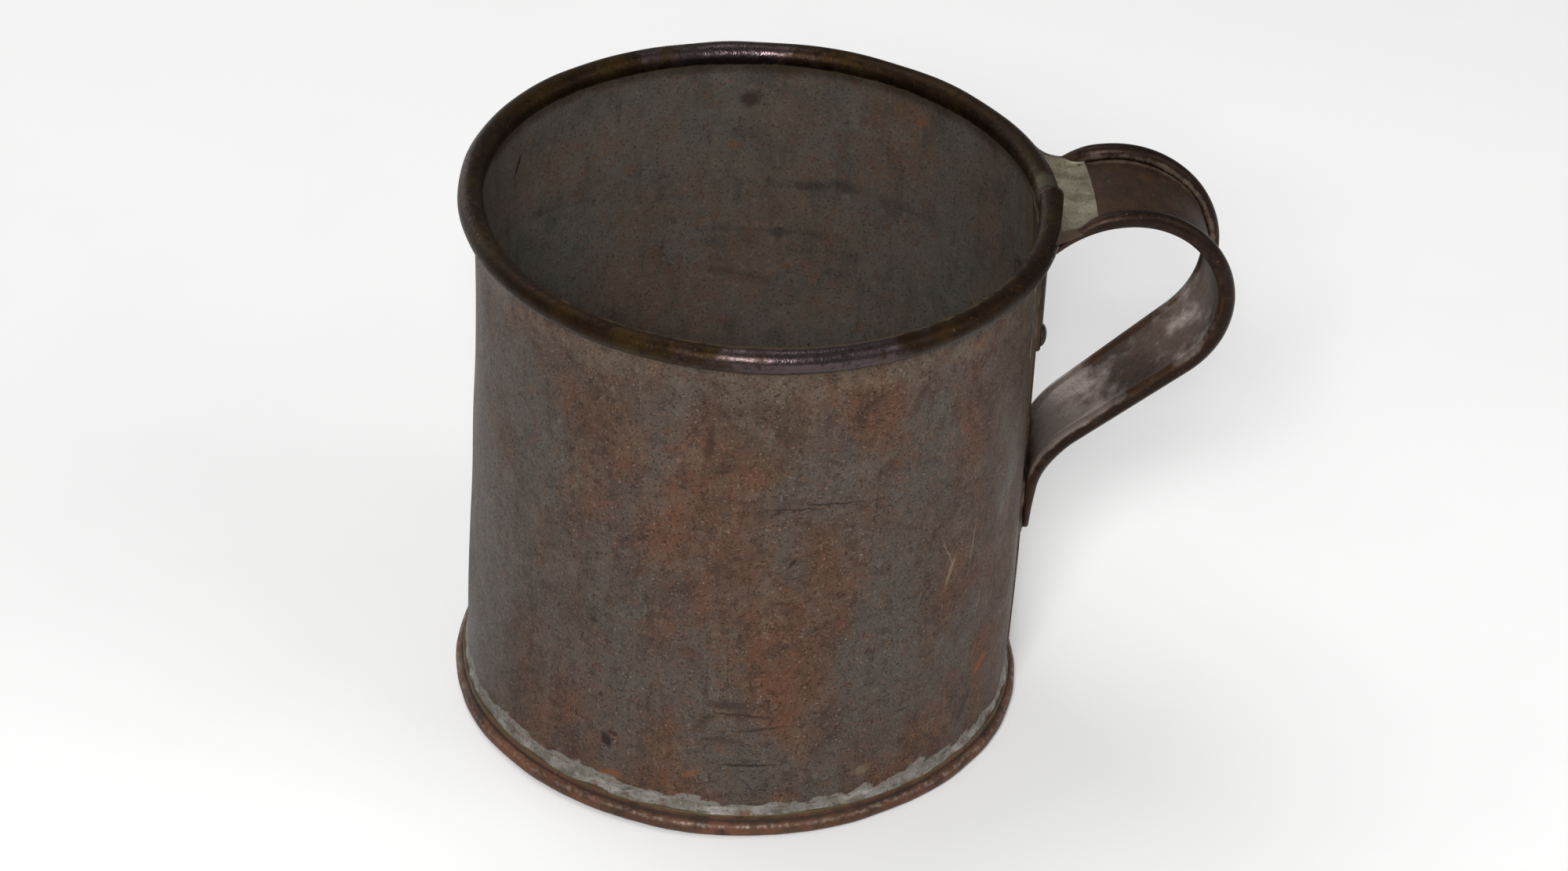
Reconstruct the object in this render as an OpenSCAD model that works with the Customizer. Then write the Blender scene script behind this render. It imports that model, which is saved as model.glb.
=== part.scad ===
// Tinned sheet-iron mug: a rolled and soldered body with a wired rim, a bottom disc
// folded over the foot of the wall, and a tapered strap handle with wired edges.
// Millimetres. The origin is the centre of the underside, +Z is up, and the handle
// stands out along +X.

/* [Body] */
// Outside diameter of the wall
body_d = 97.5; // [80:0.5:120]
// Height from the table to the top of the rolled rim
body_h = 101; // [82:0.5:125]
// Thickness of the body sheet
sheet_t = 0.5; // [0.4:0.05:0.65]
// Width of the overlap where the two ends of the body sheet are soldered
lap_w = 7; // [5:0.5:8]

/* [Rim] */
// Diameter of the wire that the top edge is rolled around
rim_wire_d = 3.3; // [2.6:0.1:4]

/* [Bottom] */
// Thickness of the bottom disc
bottom_t = 0.7; // [0.5:0.05:0.9]
// How far the folded foot seam stands out beyond the wall
foot_out = 2; // [1.8:0.1:2.6]

/* [Handle] */
// Thickness of the strap's sheet
strap_t = 0.5; // [0.4:0.05:0.65]
// Diameter of the wire in each rolled edge of the strap
edge_wire_d = 1.96; // [1.4:0.02:2.4]
// Overall width of the strap at the rim
strap_w_rim = 26; // [22:0.5:32]
// Overall width of the strap just above its rounded lower tip
strap_w_tip = 15.2; // [12:0.2:20]
// Angle above the horizontal at which the strap leaves the rim
rise = 40.2; // [36:0.2:46]
// Finger-side radius of the loop's first and last thirds
loop_end_r = 15.6; // [13:0.1:19]
// Finger-side radius of the middle third of the loop
loop_mid_r = 16.8; // [14:0.1:20.5]
// Finger-side radius of the bend from the sloping arm down onto the wall
foot_bend_r = 16.3; // [12:0.1:20]
// Length of the flattened foot soldered to the wall
foot_len = 11; // [8:0.5:16]
// Length of the tab turned down on the wall under the rim
tab_len = 16.8; // [14:0.2:21]

/* [Rivets] */
// Diameter of the two rivets' shanks
rivet_d = 2.4; // [2:0.1:2.8]
// Diameter of the rivets' heads
rivet_head_d = 4; // [3.4:0.1:4.6]
// Distance between the two rivets, measured across the strap
rivet_pitch = 21; // [17:0.5:22]

/* [Output] */
// Which piece to draw

/* [Hidden] */
$fn = 96;

// clearances between separate pieces
fit_gap = 0.05;
solder_gap = 0.03;
// a cut tool runs this far past the face it cuts
over = 1;

// wall radii, and the radii of the outer layer of the lapped seam
wall_ro = body_d / 2;
wall_ri = wall_ro - sheet_t;
flap_ri = wall_ro + fit_gap;
flap_ro = flap_ri + sheet_t;

// rolled rim: bead radius, how far the bead sits inward over the wall, bead centre
bead_r = rim_wire_d / 2 + fit_gap + sheet_t;
bead_inset = 1.15;
bead_x = wall_ro + bead_r - bead_inset;
bead_z = body_h - bead_r;
// the wall stops inside the thickness of the roll
wall_top = bead_z - sqrt(pow(bead_r - 0.9 * sheet_t, 2) - pow(bead_x - wall_ro, 2));
// slot between the wall and the free edge of the roll, as angles round the bead
roll_slot_start = 180 + acos((bead_x - wall_ro) / bead_r) + 2;
roll_slot_end = roll_slot_start + 16;

// folded foot seam: bottom sheet, flange of the wall, bottom sheet again, whose free
// edge stands up against the wall as a collar
seam_gap = 0.5;
fold_h = 2 * bottom_t + sheet_t + 2 * seam_gap;
fold_r = fold_h / 2;
fold_x = wall_ro + foot_out - fold_r;
flange_z = bottom_t + seam_gap;
collar_z = fold_h + 1.3;
foot_solder_h = 2.4;
foot_solder_w = bottom_t - 0.05;

// degrees of arc on the wall for a length in millimetres
function wall_deg(length) = length / wall_ro * 180 / PI;
lap_half = wall_deg(lap_w / 2);
// the step that carries the sheet outward on to its own far end
step_deg = wall_deg(0.5);
// butted ends of the rim roll and of the foot flange
butt_half = wall_deg(0.35);
lap_z0 = collar_z + foot_solder_h + 0.35;

// strap section: a flat hem at the ends, a round wired curl in between
hem_r = strap_t + fit_gap;
hem_h = 2 * hem_r;
// room round the wire, which grows with it as the facets of the curl do
curl_gap = 0.041 * edge_wire_d;
curl_r = edge_wire_d / 2 + curl_gap + strap_t;

// strap path, followed along its finger side
tab_x = wall_ro + max(2 * fit_gap + sheet_t + strap_t, hem_h) + fit_gap;
foot_x = flap_ro + fit_gap;
root_bend_r = 4.5;
root_len = 1.3;
rim_clear = bead_r + hem_h + 0.1;
// centre height of the bend that swings the tab out from under the rim
bend_z = bead_z + ((tab_x + root_bend_r - bead_x) * sin(rise) - rim_clear - root_bend_r) / cos(rise);
tab_z = bend_z - tab_len;

// a segment is [length, turn]: the turn in degrees, positive when clockwise
function arc(r, turn) = [r * abs(turn) * PI / 180, turn];
function turned(h, s, seg) = h - seg[1] * s / seg[0];
function advanced(p, h, s, seg) =
    seg[1] == 0
        ? p + s * [cos(h), sin(h)]
        : let(r = seg[0] * 180 / (PI * seg[1]), h2 = turned(h, s, seg))
          p + r * [sin(h) - sin(h2), cos(h2) - cos(h)];
// place and heading after a distance s along a list of segments: [x, z, heading]
function walk(segs, s, i = 0, p = [tab_x, tab_z], h = 90) =
    i == len(segs) - 1 || s <= segs[i][0]
        ? let(q = advanced(p, h, s, segs[i])) [q.x, q.y, turned(h, s, segs[i])]
        : walk(segs, s - segs[i][0], i + 1, advanced(p, h, segs[i][0], segs[i]),
               turned(h, segs[i][0], segs[i]));
function total(segs, i = 0) = i == len(segs) ? 0 : segs[i][0] + total(segs, i + 1);

root_segs = [[tab_len, 0], arc(root_bend_r, 90 - rise), [root_len, 0]];
loop_segs = concat(root_segs, [arc(loop_end_r, 60), arc(loop_mid_r, 60), arc(loop_end_r, 60)]);
loop_finish = walk(loop_segs, total(loop_segs));
// the sloping arm is as long as it must be for the foot to land on the wall
arm_len = (loop_finish.x - foot_bend_r * (1 - sin(rise)) - foot_x) / cos(rise);
segs = concat(loop_segs, [[arm_len, 0], arc(foot_bend_r, rise - 90), [foot_len, 0]]);

s_root = total(root_segs);
s_loop = total(loop_segs);
s_bend = s_loop + arm_len;
s_foot = s_bend + arc(foot_bend_r, 90 - rise)[0];
s_end = total(segs);
tip_z = walk(segs, s_end).y;
foot_top_z = walk(segs, s_foot).y;

// lengths over which the strap's section changes
curl_start = 8;
curl_fade = 20;
flatten_len = 12;
tab_corner = 1.5;
tip_corner = 5;

function clamp01(t) = min(1, max(0, t));
function smooth(t) = let(u = clamp01(t)) u * u * (3 - 2 * u);
// how much a rounded corner of radius r takes off at distance d from the end
function corner(d, r) = d >= r ? 0 : r - sqrt(r * r - pow(r - d, 2));
function strap_w(s) =
    strap_w_rim - (strap_w_rim - strap_w_tip) * clamp01((s - s_root) / (s_end - s_root))
    - 2 * corner(s, tab_corner) - 2 * corner(s_end - s, tip_corner);
function edge_r(s) =
    hem_r + (curl_r - hem_r) * min(smooth((s - s_root) / curl_start),
                                   smooth((s_end - 2 - s) / curl_fade));
// 1 where the strap is bent round the wall, 0 where it is flat across
function wrap(s) =
    max(1 - smooth((s - s_root) / flatten_len), smooth((s - s_bend) / (s_foot - s_bend)));
function sag(y) = foot_x - sqrt(foot_x * foot_x - y * y);
// a point of the strap: y across it, n out from its finger side
function strap_point(at, s, y, n) =
    [at.x - n * sin(at.z) - wrap(s) * sag(y), y, at.y + n * cos(at.z)];

// stations along the strap
function spread(s0, s1, count) = [for (i = [0 : count - 1]) s0 + (s1 - s0) * i / count];
stations = concat(
    [for (d = [0, 0.15, 0.6]) d],
    spread(tab_corner, tab_len, 3),
    spread(tab_len, s_root - root_len, 6),
    [s_root - root_len],
    spread(s_root, s_loop, 28),
    spread(s_loop, s_bend, 5),
    spread(s_bend, s_foot, 7),
    spread(s_foot, s_end - tip_corner, 2),
    [for (d = [tip_corner, 3.2, 1.9, 1, 0.4, 0.1, 0]) s_end - d]
);

// one side of the sheet's section, from the left curl's free edge across the web to
// the right curl's free edge; the curl is drawn at radius r round its own centre
curl_steps = 7;
web_steps = 6;
function curl_end(rb) = 180 + min(25, asin(1 - (strap_t + fit_gap) / rb));
function half_curl(yc, rb, r) =
    [for (k = [0 : curl_steps])
        let(a = -90 + (curl_end(rb) + 90) * k / curl_steps) [yc + r * cos(a), rb + r * sin(a)]];
function section_side(w, rb, r) =
    let(yc = w / 2 - rb, half = half_curl(yc, rb, r), n = rb - r)
    concat(
        [for (k = [curl_steps : -1 : 0]) [-half[k].x, half[k].y]],
        [for (k = [1 : web_steps - 1]) [-yc + 2 * yc * k / web_steps, n]],
        half
    );

// faces of a sweep whose rings each hold an outer and an inner row of m points
function ring_faces(rings, m) = [
    for (j = [0 : rings - 2], i = [0 : 2 * m - 1])
        let(a = j * 2 * m + i, b = j * 2 * m + (i + 1) % (2 * m), up = 2 * m)
        for (f = [[a, a + up, b + up], [a, b + up, b]]) f
];
function cap_faces(first, m, flip) = [
    for (i = [0 : m - 2])
        let(a = first + i, b = a + 1, c = first + 2 * m - 2 - i, d = c + 1)
        for (f = flip ? [[a, c, b], [a, d, c]] : [[a, b, c], [a, c, d]]) f
];

// radial placement on the wall: local x points outward
module at_wall(azimuth, z) {
    rotate([0, 0, azimuth]) translate([0, 0, z]) children();
}

// the part of a turned body between two azimuths
module sector(from, to) {
    rotate([0, 0, from]) rotate_extrude(angle = to - from) children();
}

module block(x0, x1, z0, z1) {
    translate([x0, z0]) square([x1 - x0, z1 - z0]);
}

rivet_azimuth = asin(rivet_pitch / 2 / tab_x);
rivet_z = tab_z + 2.5;

module rivet_bores(clearance) {
    for (side = [-1, 1])
        at_wall(side * rivet_azimuth, rivet_z)
            translate([wall_ri - over, 0, 0])
                rotate([0, 90, 0])
                    cylinder(h = tab_x - wall_ri + 2 * over, r = rivet_d / 2 + clearance);
}

module rim_roll_profile() {
    translate([bead_x, bead_z]) difference() {
        circle(r = bead_r);
        circle(r = bead_r - sheet_t);
        polygon([
            [0, 0],
            2 * bead_r * [cos(roll_slot_start), sin(roll_slot_start)],
            2 * bead_r * [cos(roll_slot_end), sin(roll_slot_end)]
        ]);
    }
}

module body_sheet() {
    seam_top = bend_z - 0.4;
    color("silver") difference() {
        union() {
            rotate_extrude() {
                rim_roll_profile();
                block(wall_ri, wall_ro, flange_z, wall_top);
                block(wall_ri, fold_x + 0.25, flange_z, flange_z + sheet_t);
            }
            // outer layer of the lap, and the step that carries the sheet out to it
            sector(-lap_half - 2 * step_deg, lap_half)
                block(flap_ri, flap_ro, lap_z0, seam_top);
            sector(-lap_half - 2.5 * step_deg, -lap_half - step_deg)
                block(wall_ri + 0.1, flap_ro - 0.1, lap_z0 + 0.1, seam_top - 0.1);
        }
        // where the inner layer ends, just short of the step
        sector(-lap_half - 0.9 * step_deg, -lap_half)
            block(wall_ri - over, wall_ro + fit_gap / 2, lap_z0, seam_top);
        // butted ends of the flange and of the rim roll
        sector(-butt_half, butt_half)
            block(wall_ri - over, fold_x + over, flange_z - over, collar_z - 0.5);
        sector(-butt_half, butt_half)
            block(wall_ri - 2 * over, bead_x + bead_r + over, bend_z, body_h + over);
        rivet_bores(fit_gap);
    }
}

module rim_wire() {
    color("dimgray")
        sector(wall_deg(0.1), 360 - wall_deg(0.1))
            translate([bead_x, bead_z]) circle(r = rim_wire_d / 2);
}

module bottom_disc() {
    color("silver") rotate_extrude() {
        square([fold_x, bottom_t]);
        translate([fold_x, fold_r]) difference() {
            circle(r = fold_r);
            circle(r = fold_r - bottom_t);
            translate([-2 * fold_r, -2 * fold_r]) square([2 * fold_r, 4 * fold_r]);
        }
        block(wall_ro + fit_gap, fold_x, fold_h - bottom_t, fold_h);
        block(wall_ro + fit_gap, wall_ro + fit_gap + bottom_t, fold_h - bottom_t, collar_z);
    }
}

module side_seam_solder() {
    color("lightgray")
        sector(lap_half + wall_deg(solder_gap), lap_half + wall_deg(0.8))
            polygon([
                [wall_ro + solder_gap, lap_z0 + 0.2],
                [flap_ro, lap_z0 + 0.8],
                [flap_ro, bend_z - 1],
                [wall_ro + solder_gap, bend_z - 0.4]
            ]);
}

module foot_seam_solder() {
    x = wall_ro + solder_gap;
    z = collar_z + solder_gap;
    color("lightgray") rotate_extrude()
        polygon([
            [x, z],
            [x + foot_solder_w, z],
            [x + foot_solder_w / 3, z + foot_solder_h / 3],
            [x + 0.1, z + foot_solder_h],
            [x, z + foot_solder_h]
        ]);
}

module rim_seam_solder() {
    skin = 0.3;
    color("lightgray") {
        // plug between the butted ends of the roll
        sector(wall_deg(solder_gap) - butt_half, butt_half - wall_deg(solder_gap))
            roll_band(bead_r - sheet_t + solder_gap, bead_r + skin / 2, 190);
        // smear over the joint
        sector(-wall_deg(1.6), wall_deg(1.6))
            roll_band(bead_r + solder_gap, bead_r + skin, 180);
    }
}

// part of a ring round the rim wire, from just outside the top over to the inside
module roll_band(r0, r1, to) {
    from = 30;
    steps = 24;
    translate([bead_x, bead_z]) polygon(concat(
        [for (k = [0 : steps]) let(a = from + (to - from) * k / steps) r0 * [cos(a), sin(a)]],
        [for (k = [steps : -1 : 0]) let(a = from + (to - from) * k / steps) r1 * [cos(a), sin(a)]]
    ));
}

module inner_seam_solder() {
    low = bend_z - 12;
    color("lightgray") intersection() {
        sector(-15, 15) block(wall_ri - 0.3, wall_ri - solder_gap, low, bead_z - bead_r);
        rotate([90, 0, 90]) linear_extrude(height = body_d)
            polygon([
                [-1.4, low],
                [1.4, low],
                [6.5, bead_z - bead_r],
                [-6.5, bead_z - bead_r]
            ]);
    }
}

module handle_strap() {
    m = 2 * curl_steps + web_steps + 1;
    points = [
        for (s = stations)
            let(at = walk(segs, s), w = strap_w(s), rb = edge_r(s),
                outer = section_side(w, rb, rb), inner = section_side(w, rb, rb - strap_t))
            for (k = [0 : 2 * m - 1])
                let(p = k < m ? outer[k] : inner[2 * m - 1 - k]) strap_point(at, s, p.x, p.y)
    ];
    color("sienna") difference() {
        polyhedron(
            points = points,
            faces = concat(
                ring_faces(len(stations), m),
                cap_faces(0, m, false),
                cap_faces(2 * m * (len(stations) - 1), m, true)
            ),
            convexity = 10
        );
        rivet_bores(fit_gap);
    }
}

// the wire runs only where the curl is full size
wire_stations = [for (s = stations) if (edge_r(s) > curl_r - 0.001) s];
wire_sides = 10;

module edge_wire(side) {
    half = wire_sides / 2;
    points = [
        for (s = wire_stations)
            let(at = walk(segs, s), rb = edge_r(s), yc = side * (strap_w(s) / 2 - rb))
            for (k = [0 : wire_sides - 1])
                let(a = 360 * (k + 0.5) / wire_sides)
                strap_point(at, s, yc + edge_wire_d / 2 * cos(a), rb + edge_wire_d / 2 * sin(a))
    ];
    color("dimgray") polyhedron(
        points = points,
        faces = concat(
            ring_faces(len(wire_stations), half),
            cap_faces(0, half, false),
            cap_faces(wire_sides * (len(wire_stations) - 1), half, true)
        ),
        convexity = 10
    );
}

module handle_wire_near() {
    edge_wire(-1);
}

module handle_wire_far() {
    edge_wire(1);
}

module handle_rivets() {
    head_h = 0.8;
    tail_d = 3.6;
    tail_h = 0.5;
    head_x = tab_x + solder_gap;
    tail_x = wall_ri - 0.06;
    color("sienna")
        for (side = [-1, 1])
            at_wall(side * rivet_azimuth, rivet_z) {
                translate([tail_x - 0.1, 0, 0]) rotate([0, 90, 0])
                    cylinder(h = head_x - tail_x + 0.2, r = rivet_d / 2);
                translate([head_x, 0, 0]) rotate([0, 90, 0])
                    cylinder(h = head_h, r1 = rivet_head_d / 2, r2 = rivet_head_d / 3);
                translate([tail_x - tail_h, 0, 0]) rotate([0, 90, 0])
                    cylinder(h = tail_h, r1 = tail_d / 3, r2 = tail_d / 2);
            }
}

// points beside the strap in its own plane, at distance n from its finger side
function beside(n, s0, s1, count) = [
    for (k = [0 : count])
        let(at = walk(segs, s0 + (s1 - s0) * k / count)) [at.x - n * sin(at.z), at.y + n * cos(at.z)]
];

module handle_upper_solder() {
    web_side = strap_t + 0.08;
    wall_side = wall_ro + solder_gap;
    patch_len = 5.5;
    web_half = asin((strap_w_rim / 2 - 2 * curl_r - 0.9) / tab_x);
    edge_azimuth = asin((strap_w_rim / 2 + 0.1) / (wall_ro + 0.2));
    edge_end = edge_azimuth + wall_deg(2.8);
    color("lightgray") {
        // under the rim and over the strap, in the groove between the two
        sector(-web_half, web_half) difference() {
            polygon(concat(
                [[wall_side, bend_z + 1.3]],
                beside(web_side, tab_len + 1.3, s_root + patch_len, 12),
                beside(web_side + 0.5, s_root + 3, s_root + 3, 1),
                [[bead_x + bead_r + 0.4, bead_z - 0.2]],
                [[bead_x + bead_r, bead_z + 0.7], [bead_x, bead_z], [wall_side, bead_z]]
            ));
            translate([bead_x, bead_z]) circle(r = bead_r + solder_gap);
            block(wall_side - over, wall_side, bend_z, bead_z);
        }
        // fillets along both edges of the tab, up to the underside of the rim
        for (side = [-1, 1])
            difference() {
                translate([0, 0, tab_z]) linear_extrude(height = bead_z - 1 - tab_z)
                    polygon([
                        (wall_ro - 0.5) * [cos(edge_azimuth), side * sin(edge_azimuth)],
                        (tab_x - 0.2) * [cos(edge_azimuth), side * sin(edge_azimuth)],
                        (wall_ro + 0.12) * [cos(edge_end), side * sin(edge_end)],
                        (wall_ro - 0.5) * [cos(edge_end), side * sin(edge_end)]
                    ]);
                translate([0, 0, tab_z - over])
                    cylinder(h = tab_len + 10 * over, r = wall_side, $fn = 360);
                rotate_extrude($fn = 360)
                    translate([bead_x, bead_z]) circle(r = bead_r + solder_gap);
            }
    }
}

module handle_lower_solder() {
    wall_side = wall_ro + solder_gap;
    over_lap = flap_ro + solder_gap;
    under_strap = flap_ro + solder_gap / 2;
    from = lap_half + 3 * step_deg;
    // half widths at the top, at the tip and along the rounded toe
    top_y = (strap_w_rim + 2 * strap_w_tip) / 6 + 1.2;
    tip_y = strap_w_tip / 2 + 1;
    low_z = tip_z - 1.6;
    color("lightgray") intersection() {
        union() {
            // film beside the lap, running a little past the edges of the strap
            for (side = [-1, 1]) {
                sector(side > 0 ? from : -20, side > 0 ? 20 : -from)
                    block(wall_side, under_strap, low_z, foot_top_z + 2);
                sector(side > 0 ? from : -20, side > 0 ? 20 : -from)
                    block(wall_side, under_strap + 0.4, low_z, tip_z - 0.1);
            }
            // toe below the tip, across the lap
            sector(-from - 1, from + 1)
                block(over_lap, under_strap + 0.4, low_z, tip_z - 0.1);
        }
        rotate([90, 0, 90]) linear_extrude(height = body_d)
            polygon([
                [-tip_y + 4, low_z],
                [tip_y - 4, low_z],
                [tip_y - 1, low_z + 1.4],
                [tip_y, low_z + 4],
                [top_y, foot_top_z + 2],
                [-top_y, foot_top_z + 2],
                [-tip_y, low_z + 4],
                [1 - tip_y, low_z + 1.4]
            ]);
    }
}

body_sheet();
rim_wire();
bottom_disc();
side_seam_solder();
foot_seam_solder();
rim_seam_solder();
inner_seam_solder();
handle_strap();
handle_wire_near();
handle_wire_far();
handle_rivets();
handle_upper_solder();
handle_lower_solder();
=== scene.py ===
"""Looks of a tinned sheet-iron mug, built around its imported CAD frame.

The frame's axes are used throughout: the foot stands on z = 0, the cup's axis is +Z and
the handle points along +X.  Sizes in the classes are in millimetres and azimuths are in
degrees from the handle; meshes are written in metres.
"""

import logging
import math
from dataclasses import dataclass, field, replace
from enum import Enum

import bmesh
import bpy
import numpy as np
from mathutils import Matrix, Vector


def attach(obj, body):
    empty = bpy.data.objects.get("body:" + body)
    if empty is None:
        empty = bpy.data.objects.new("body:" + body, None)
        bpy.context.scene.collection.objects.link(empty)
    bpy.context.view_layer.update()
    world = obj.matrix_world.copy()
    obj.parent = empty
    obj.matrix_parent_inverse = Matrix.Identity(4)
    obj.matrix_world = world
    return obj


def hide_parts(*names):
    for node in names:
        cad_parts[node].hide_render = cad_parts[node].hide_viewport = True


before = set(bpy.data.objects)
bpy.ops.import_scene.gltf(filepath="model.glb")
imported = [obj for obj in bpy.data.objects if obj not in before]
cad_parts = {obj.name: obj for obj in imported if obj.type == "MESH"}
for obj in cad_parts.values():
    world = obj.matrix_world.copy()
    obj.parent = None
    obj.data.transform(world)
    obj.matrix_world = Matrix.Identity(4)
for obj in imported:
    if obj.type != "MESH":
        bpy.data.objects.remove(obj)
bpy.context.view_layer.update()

MM = 0.001
BODY = "root"
UV_NAME = "sheet_uv"
LOG = logging.getLogger("mug")
WALL_OUTER = 48.75
WALL_INNER = 48.25
EVEN = (1.0, 1.0, 1.0)

# the finest noise that still shows: real tin crystals and grit are finer than this
FINEST_GRAIN = 0.5
# how ragged the outline of a single mark is: width of the teeth and their reach, mm
RAG_SIZE = 1.6
RAG_REACH = 1.4
# share of a mark's half size at which it is full
MARK_CORE = 0.35
# seeds of the grain and of the gloss, clear of those of the patches
GRAIN_SEED = 40.0
GLITTER_SEED = 61.0


# ----------------------------------------------------------------------------- numbers


def linear(colour: str) -> tuple[float, float, float, float]:
    """Turns an sRGB hex colour into linear red, green, blue and alpha.

    Args:
        colour: six hex digits after a hash sign.

    Returns:
        The colour's linear components, with alpha 1.
    """
    parts = [int(colour[i : i + 2], 16) / 255 for i in (1, 3, 5)]
    curve = [c / 12.92 if c <= 0.04045 else ((c + 0.055) / 1.055) ** 2.4 for c in parts]
    return (curve[0], curve[1], curve[2], 1.0)


def smooth(t: np.ndarray) -> np.ndarray:
    """Smooth step: 0 below 0, 1 above 1, and three t squared less two t cubed between."""
    u = np.clip(t, 0.0, 1.0)
    return u * u * (3 - 2 * u)


def bell(t: np.ndarray) -> np.ndarray:
    """Bell curve of height 1: e to the power of minus t squared."""
    return np.exp(-np.square(t))


def turn(angle: np.ndarray) -> np.ndarray:
    """Brings an azimuth in degrees into the range from -180 to 180."""
    return (np.asarray(angle, float) + 180.0) % 360.0 - 180.0


def waves(points: np.ndarray, size: float, seed: int, count: int = 22) -> np.ndarray:
    """Smooth uneven field: a sum of cosine waves in seeded directions.

    Args:
        points: places in mm, with x, y and z on the last axis.
        size: typical width of a hump, in mm.
        seed: picks the directions, lengths and phases.
        count: how many waves are added.

    Returns:
        One value per point, mostly between -2 and 2, with a spread of about 1.
    """
    rng = np.random.default_rng(seed)
    heading = rng.normal(size=(count, 3))
    heading /= np.linalg.norm(heading, axis=1, keepdims=True)
    length = 2 * size * rng.uniform(0.7, 1.5, (count, 1))
    phase = rng.uniform(0, 2 * math.pi, count)
    swing = points @ (2 * math.pi * heading / length).T + phase
    return np.cos(swing).sum(-1) * math.sqrt(2 / count)


def polar(radius: np.ndarray, azimuth: np.ndarray, z: np.ndarray) -> np.ndarray:
    """Points from a radius, an azimuth in degrees and a height, broadcast together."""
    r, a, h = np.broadcast_arrays(radius, np.radians(azimuth), z)
    return np.stack([r * np.cos(a), r * np.sin(a), h], axis=-1)


# ------------------------------------------------------------------------------ meshes


class Ends(Enum):
    """How the first and last rows of a surface are closed."""

    OPEN = "open"
    POLES = "poles"
    STRIPS = "strips"


@dataclass
class Surface:
    """A grid of points in mm that becomes a closed part of a mesh.

    Args:
        points: rows by columns by 3; the last column always joins the first.
        ring: true where the last row joins the first as well.
        ends: how the two end rows are closed when the rows don't make a ring.
        uv: rows + 1 by columns + 1 by 2 in metres along the sheet, or None.
        masks: named values, rows by columns, kept as vertex attributes.
        slots: material slot of each row of faces.
    """

    points: np.ndarray
    ring: bool = False
    ends: Ends = Ends.OPEN
    uv: np.ndarray | None = None
    masks: dict[str, np.ndarray] = field(default_factory=dict)
    slots: np.ndarray | None = None

    def corners(self) -> tuple[np.ndarray, np.ndarray, np.ndarray]:
        """Lists the quads of the grid by row and column.

        Returns:
            Row and unwrapped column of each quad's four corners, and each quad's row.
        """
        rows, cols = self.points.shape[:2]
        i, j = np.meshgrid(np.arange(rows if self.ring else rows - 1), np.arange(cols), indexing="ij")
        i, j = i.ravel(), j.ravel()
        return (
            np.stack([i, i, i + 1, i + 1], 1),
            np.stack([j, j + 1, j + 1, j], 1),
            i,
        )

    def faces(self) -> tuple[list[list[int]], np.ndarray, np.ndarray]:
        """Faces as lists of vertex numbers, with the uv of every corner.

        The quad between rows i, i+1 and columns j, j+1 is taken in turn; beside a pole
        it loses the corner that repeats.  A strip end joins column k to the column
        that mirrors it, as on a flat section's two sides.

        Returns:
            The faces, their corners' uv and their material slots.
        """
        rows, cols = self.points.shape[:2]
        row, col, first = self.corners()
        index = (row % rows) * cols + col % cols
        if self.uv is None:
            uv = np.zeros(row.shape + (2,))
        else:
            uv = self.uv[row, col]
        slot = np.zeros(len(index), int) if self.slots is None else self.slots[first]
        if self.ends is Ends.POLES:
            index[row == 0] = 0
            index[row == rows - 1] = (rows - 1) * cols
            low, high = first == 0, first == rows - 2
            body = ~(low | high)
            groups = [
                (index[body], uv[body], slot[body]),
                (index[low][:, [0, 2, 3]], uv[low][:, [0, 2, 3]], slot[low]),
                (index[high][:, [0, 1, 2]], uv[high][:, [0, 1, 2]], slot[high]),
            ]
        else:
            groups = [(index, uv, slot)]
        if self.ends is Ends.STRIPS:
            k = np.arange(cols // 2 - 1)
            lid = np.stack([k, cols - 1 - k, cols - 2 - k, k + 1], 1)
            for base, order in ((0, [0, 1, 2, 3]), ((rows - 1) * cols, [3, 2, 1, 0])):
                groups.append((base + lid[:, order], np.zeros((len(k), 4, 2)), np.zeros(len(k), int)))
        flat = [face for g in groups for face in g[0].tolist()]
        corner_uv = np.concatenate([g[1].reshape(-1, 2) for g in groups])
        return flat, corner_uv, np.concatenate([g[2] for g in groups])


def shell(top: np.ndarray, bottom: np.ndarray, **more: object) -> Surface:
    """A closed slab between two grids: each row runs out along the top and back below.

    Args:
        top: rows by columns by 3 points of the seen face, in mm.
        bottom: the matching points of the hidden face.
        more: further fields of the surface.

    Returns:
        The surface, with flat strips at both ends.
    """
    return Surface(np.concatenate([top, bottom[:, ::-1]], axis=1), ends=Ends.STRIPS, **more)


def enclosed(points: np.ndarray, faces: list[list[int]]) -> float:
    """Signed volume: a sixth of the sum of a . (b x c) over the faces cut into triangles."""
    tris = np.array([[f[0], f[k], f[k + 1]] for f in faces for k in range(1, len(f) - 1)])
    a, b, c = points[tris[:, 0]], points[tris[:, 1]], points[tris[:, 2]]
    return float(np.einsum("ij,ij->i", a, np.cross(b, c)).sum() / 6)


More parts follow.
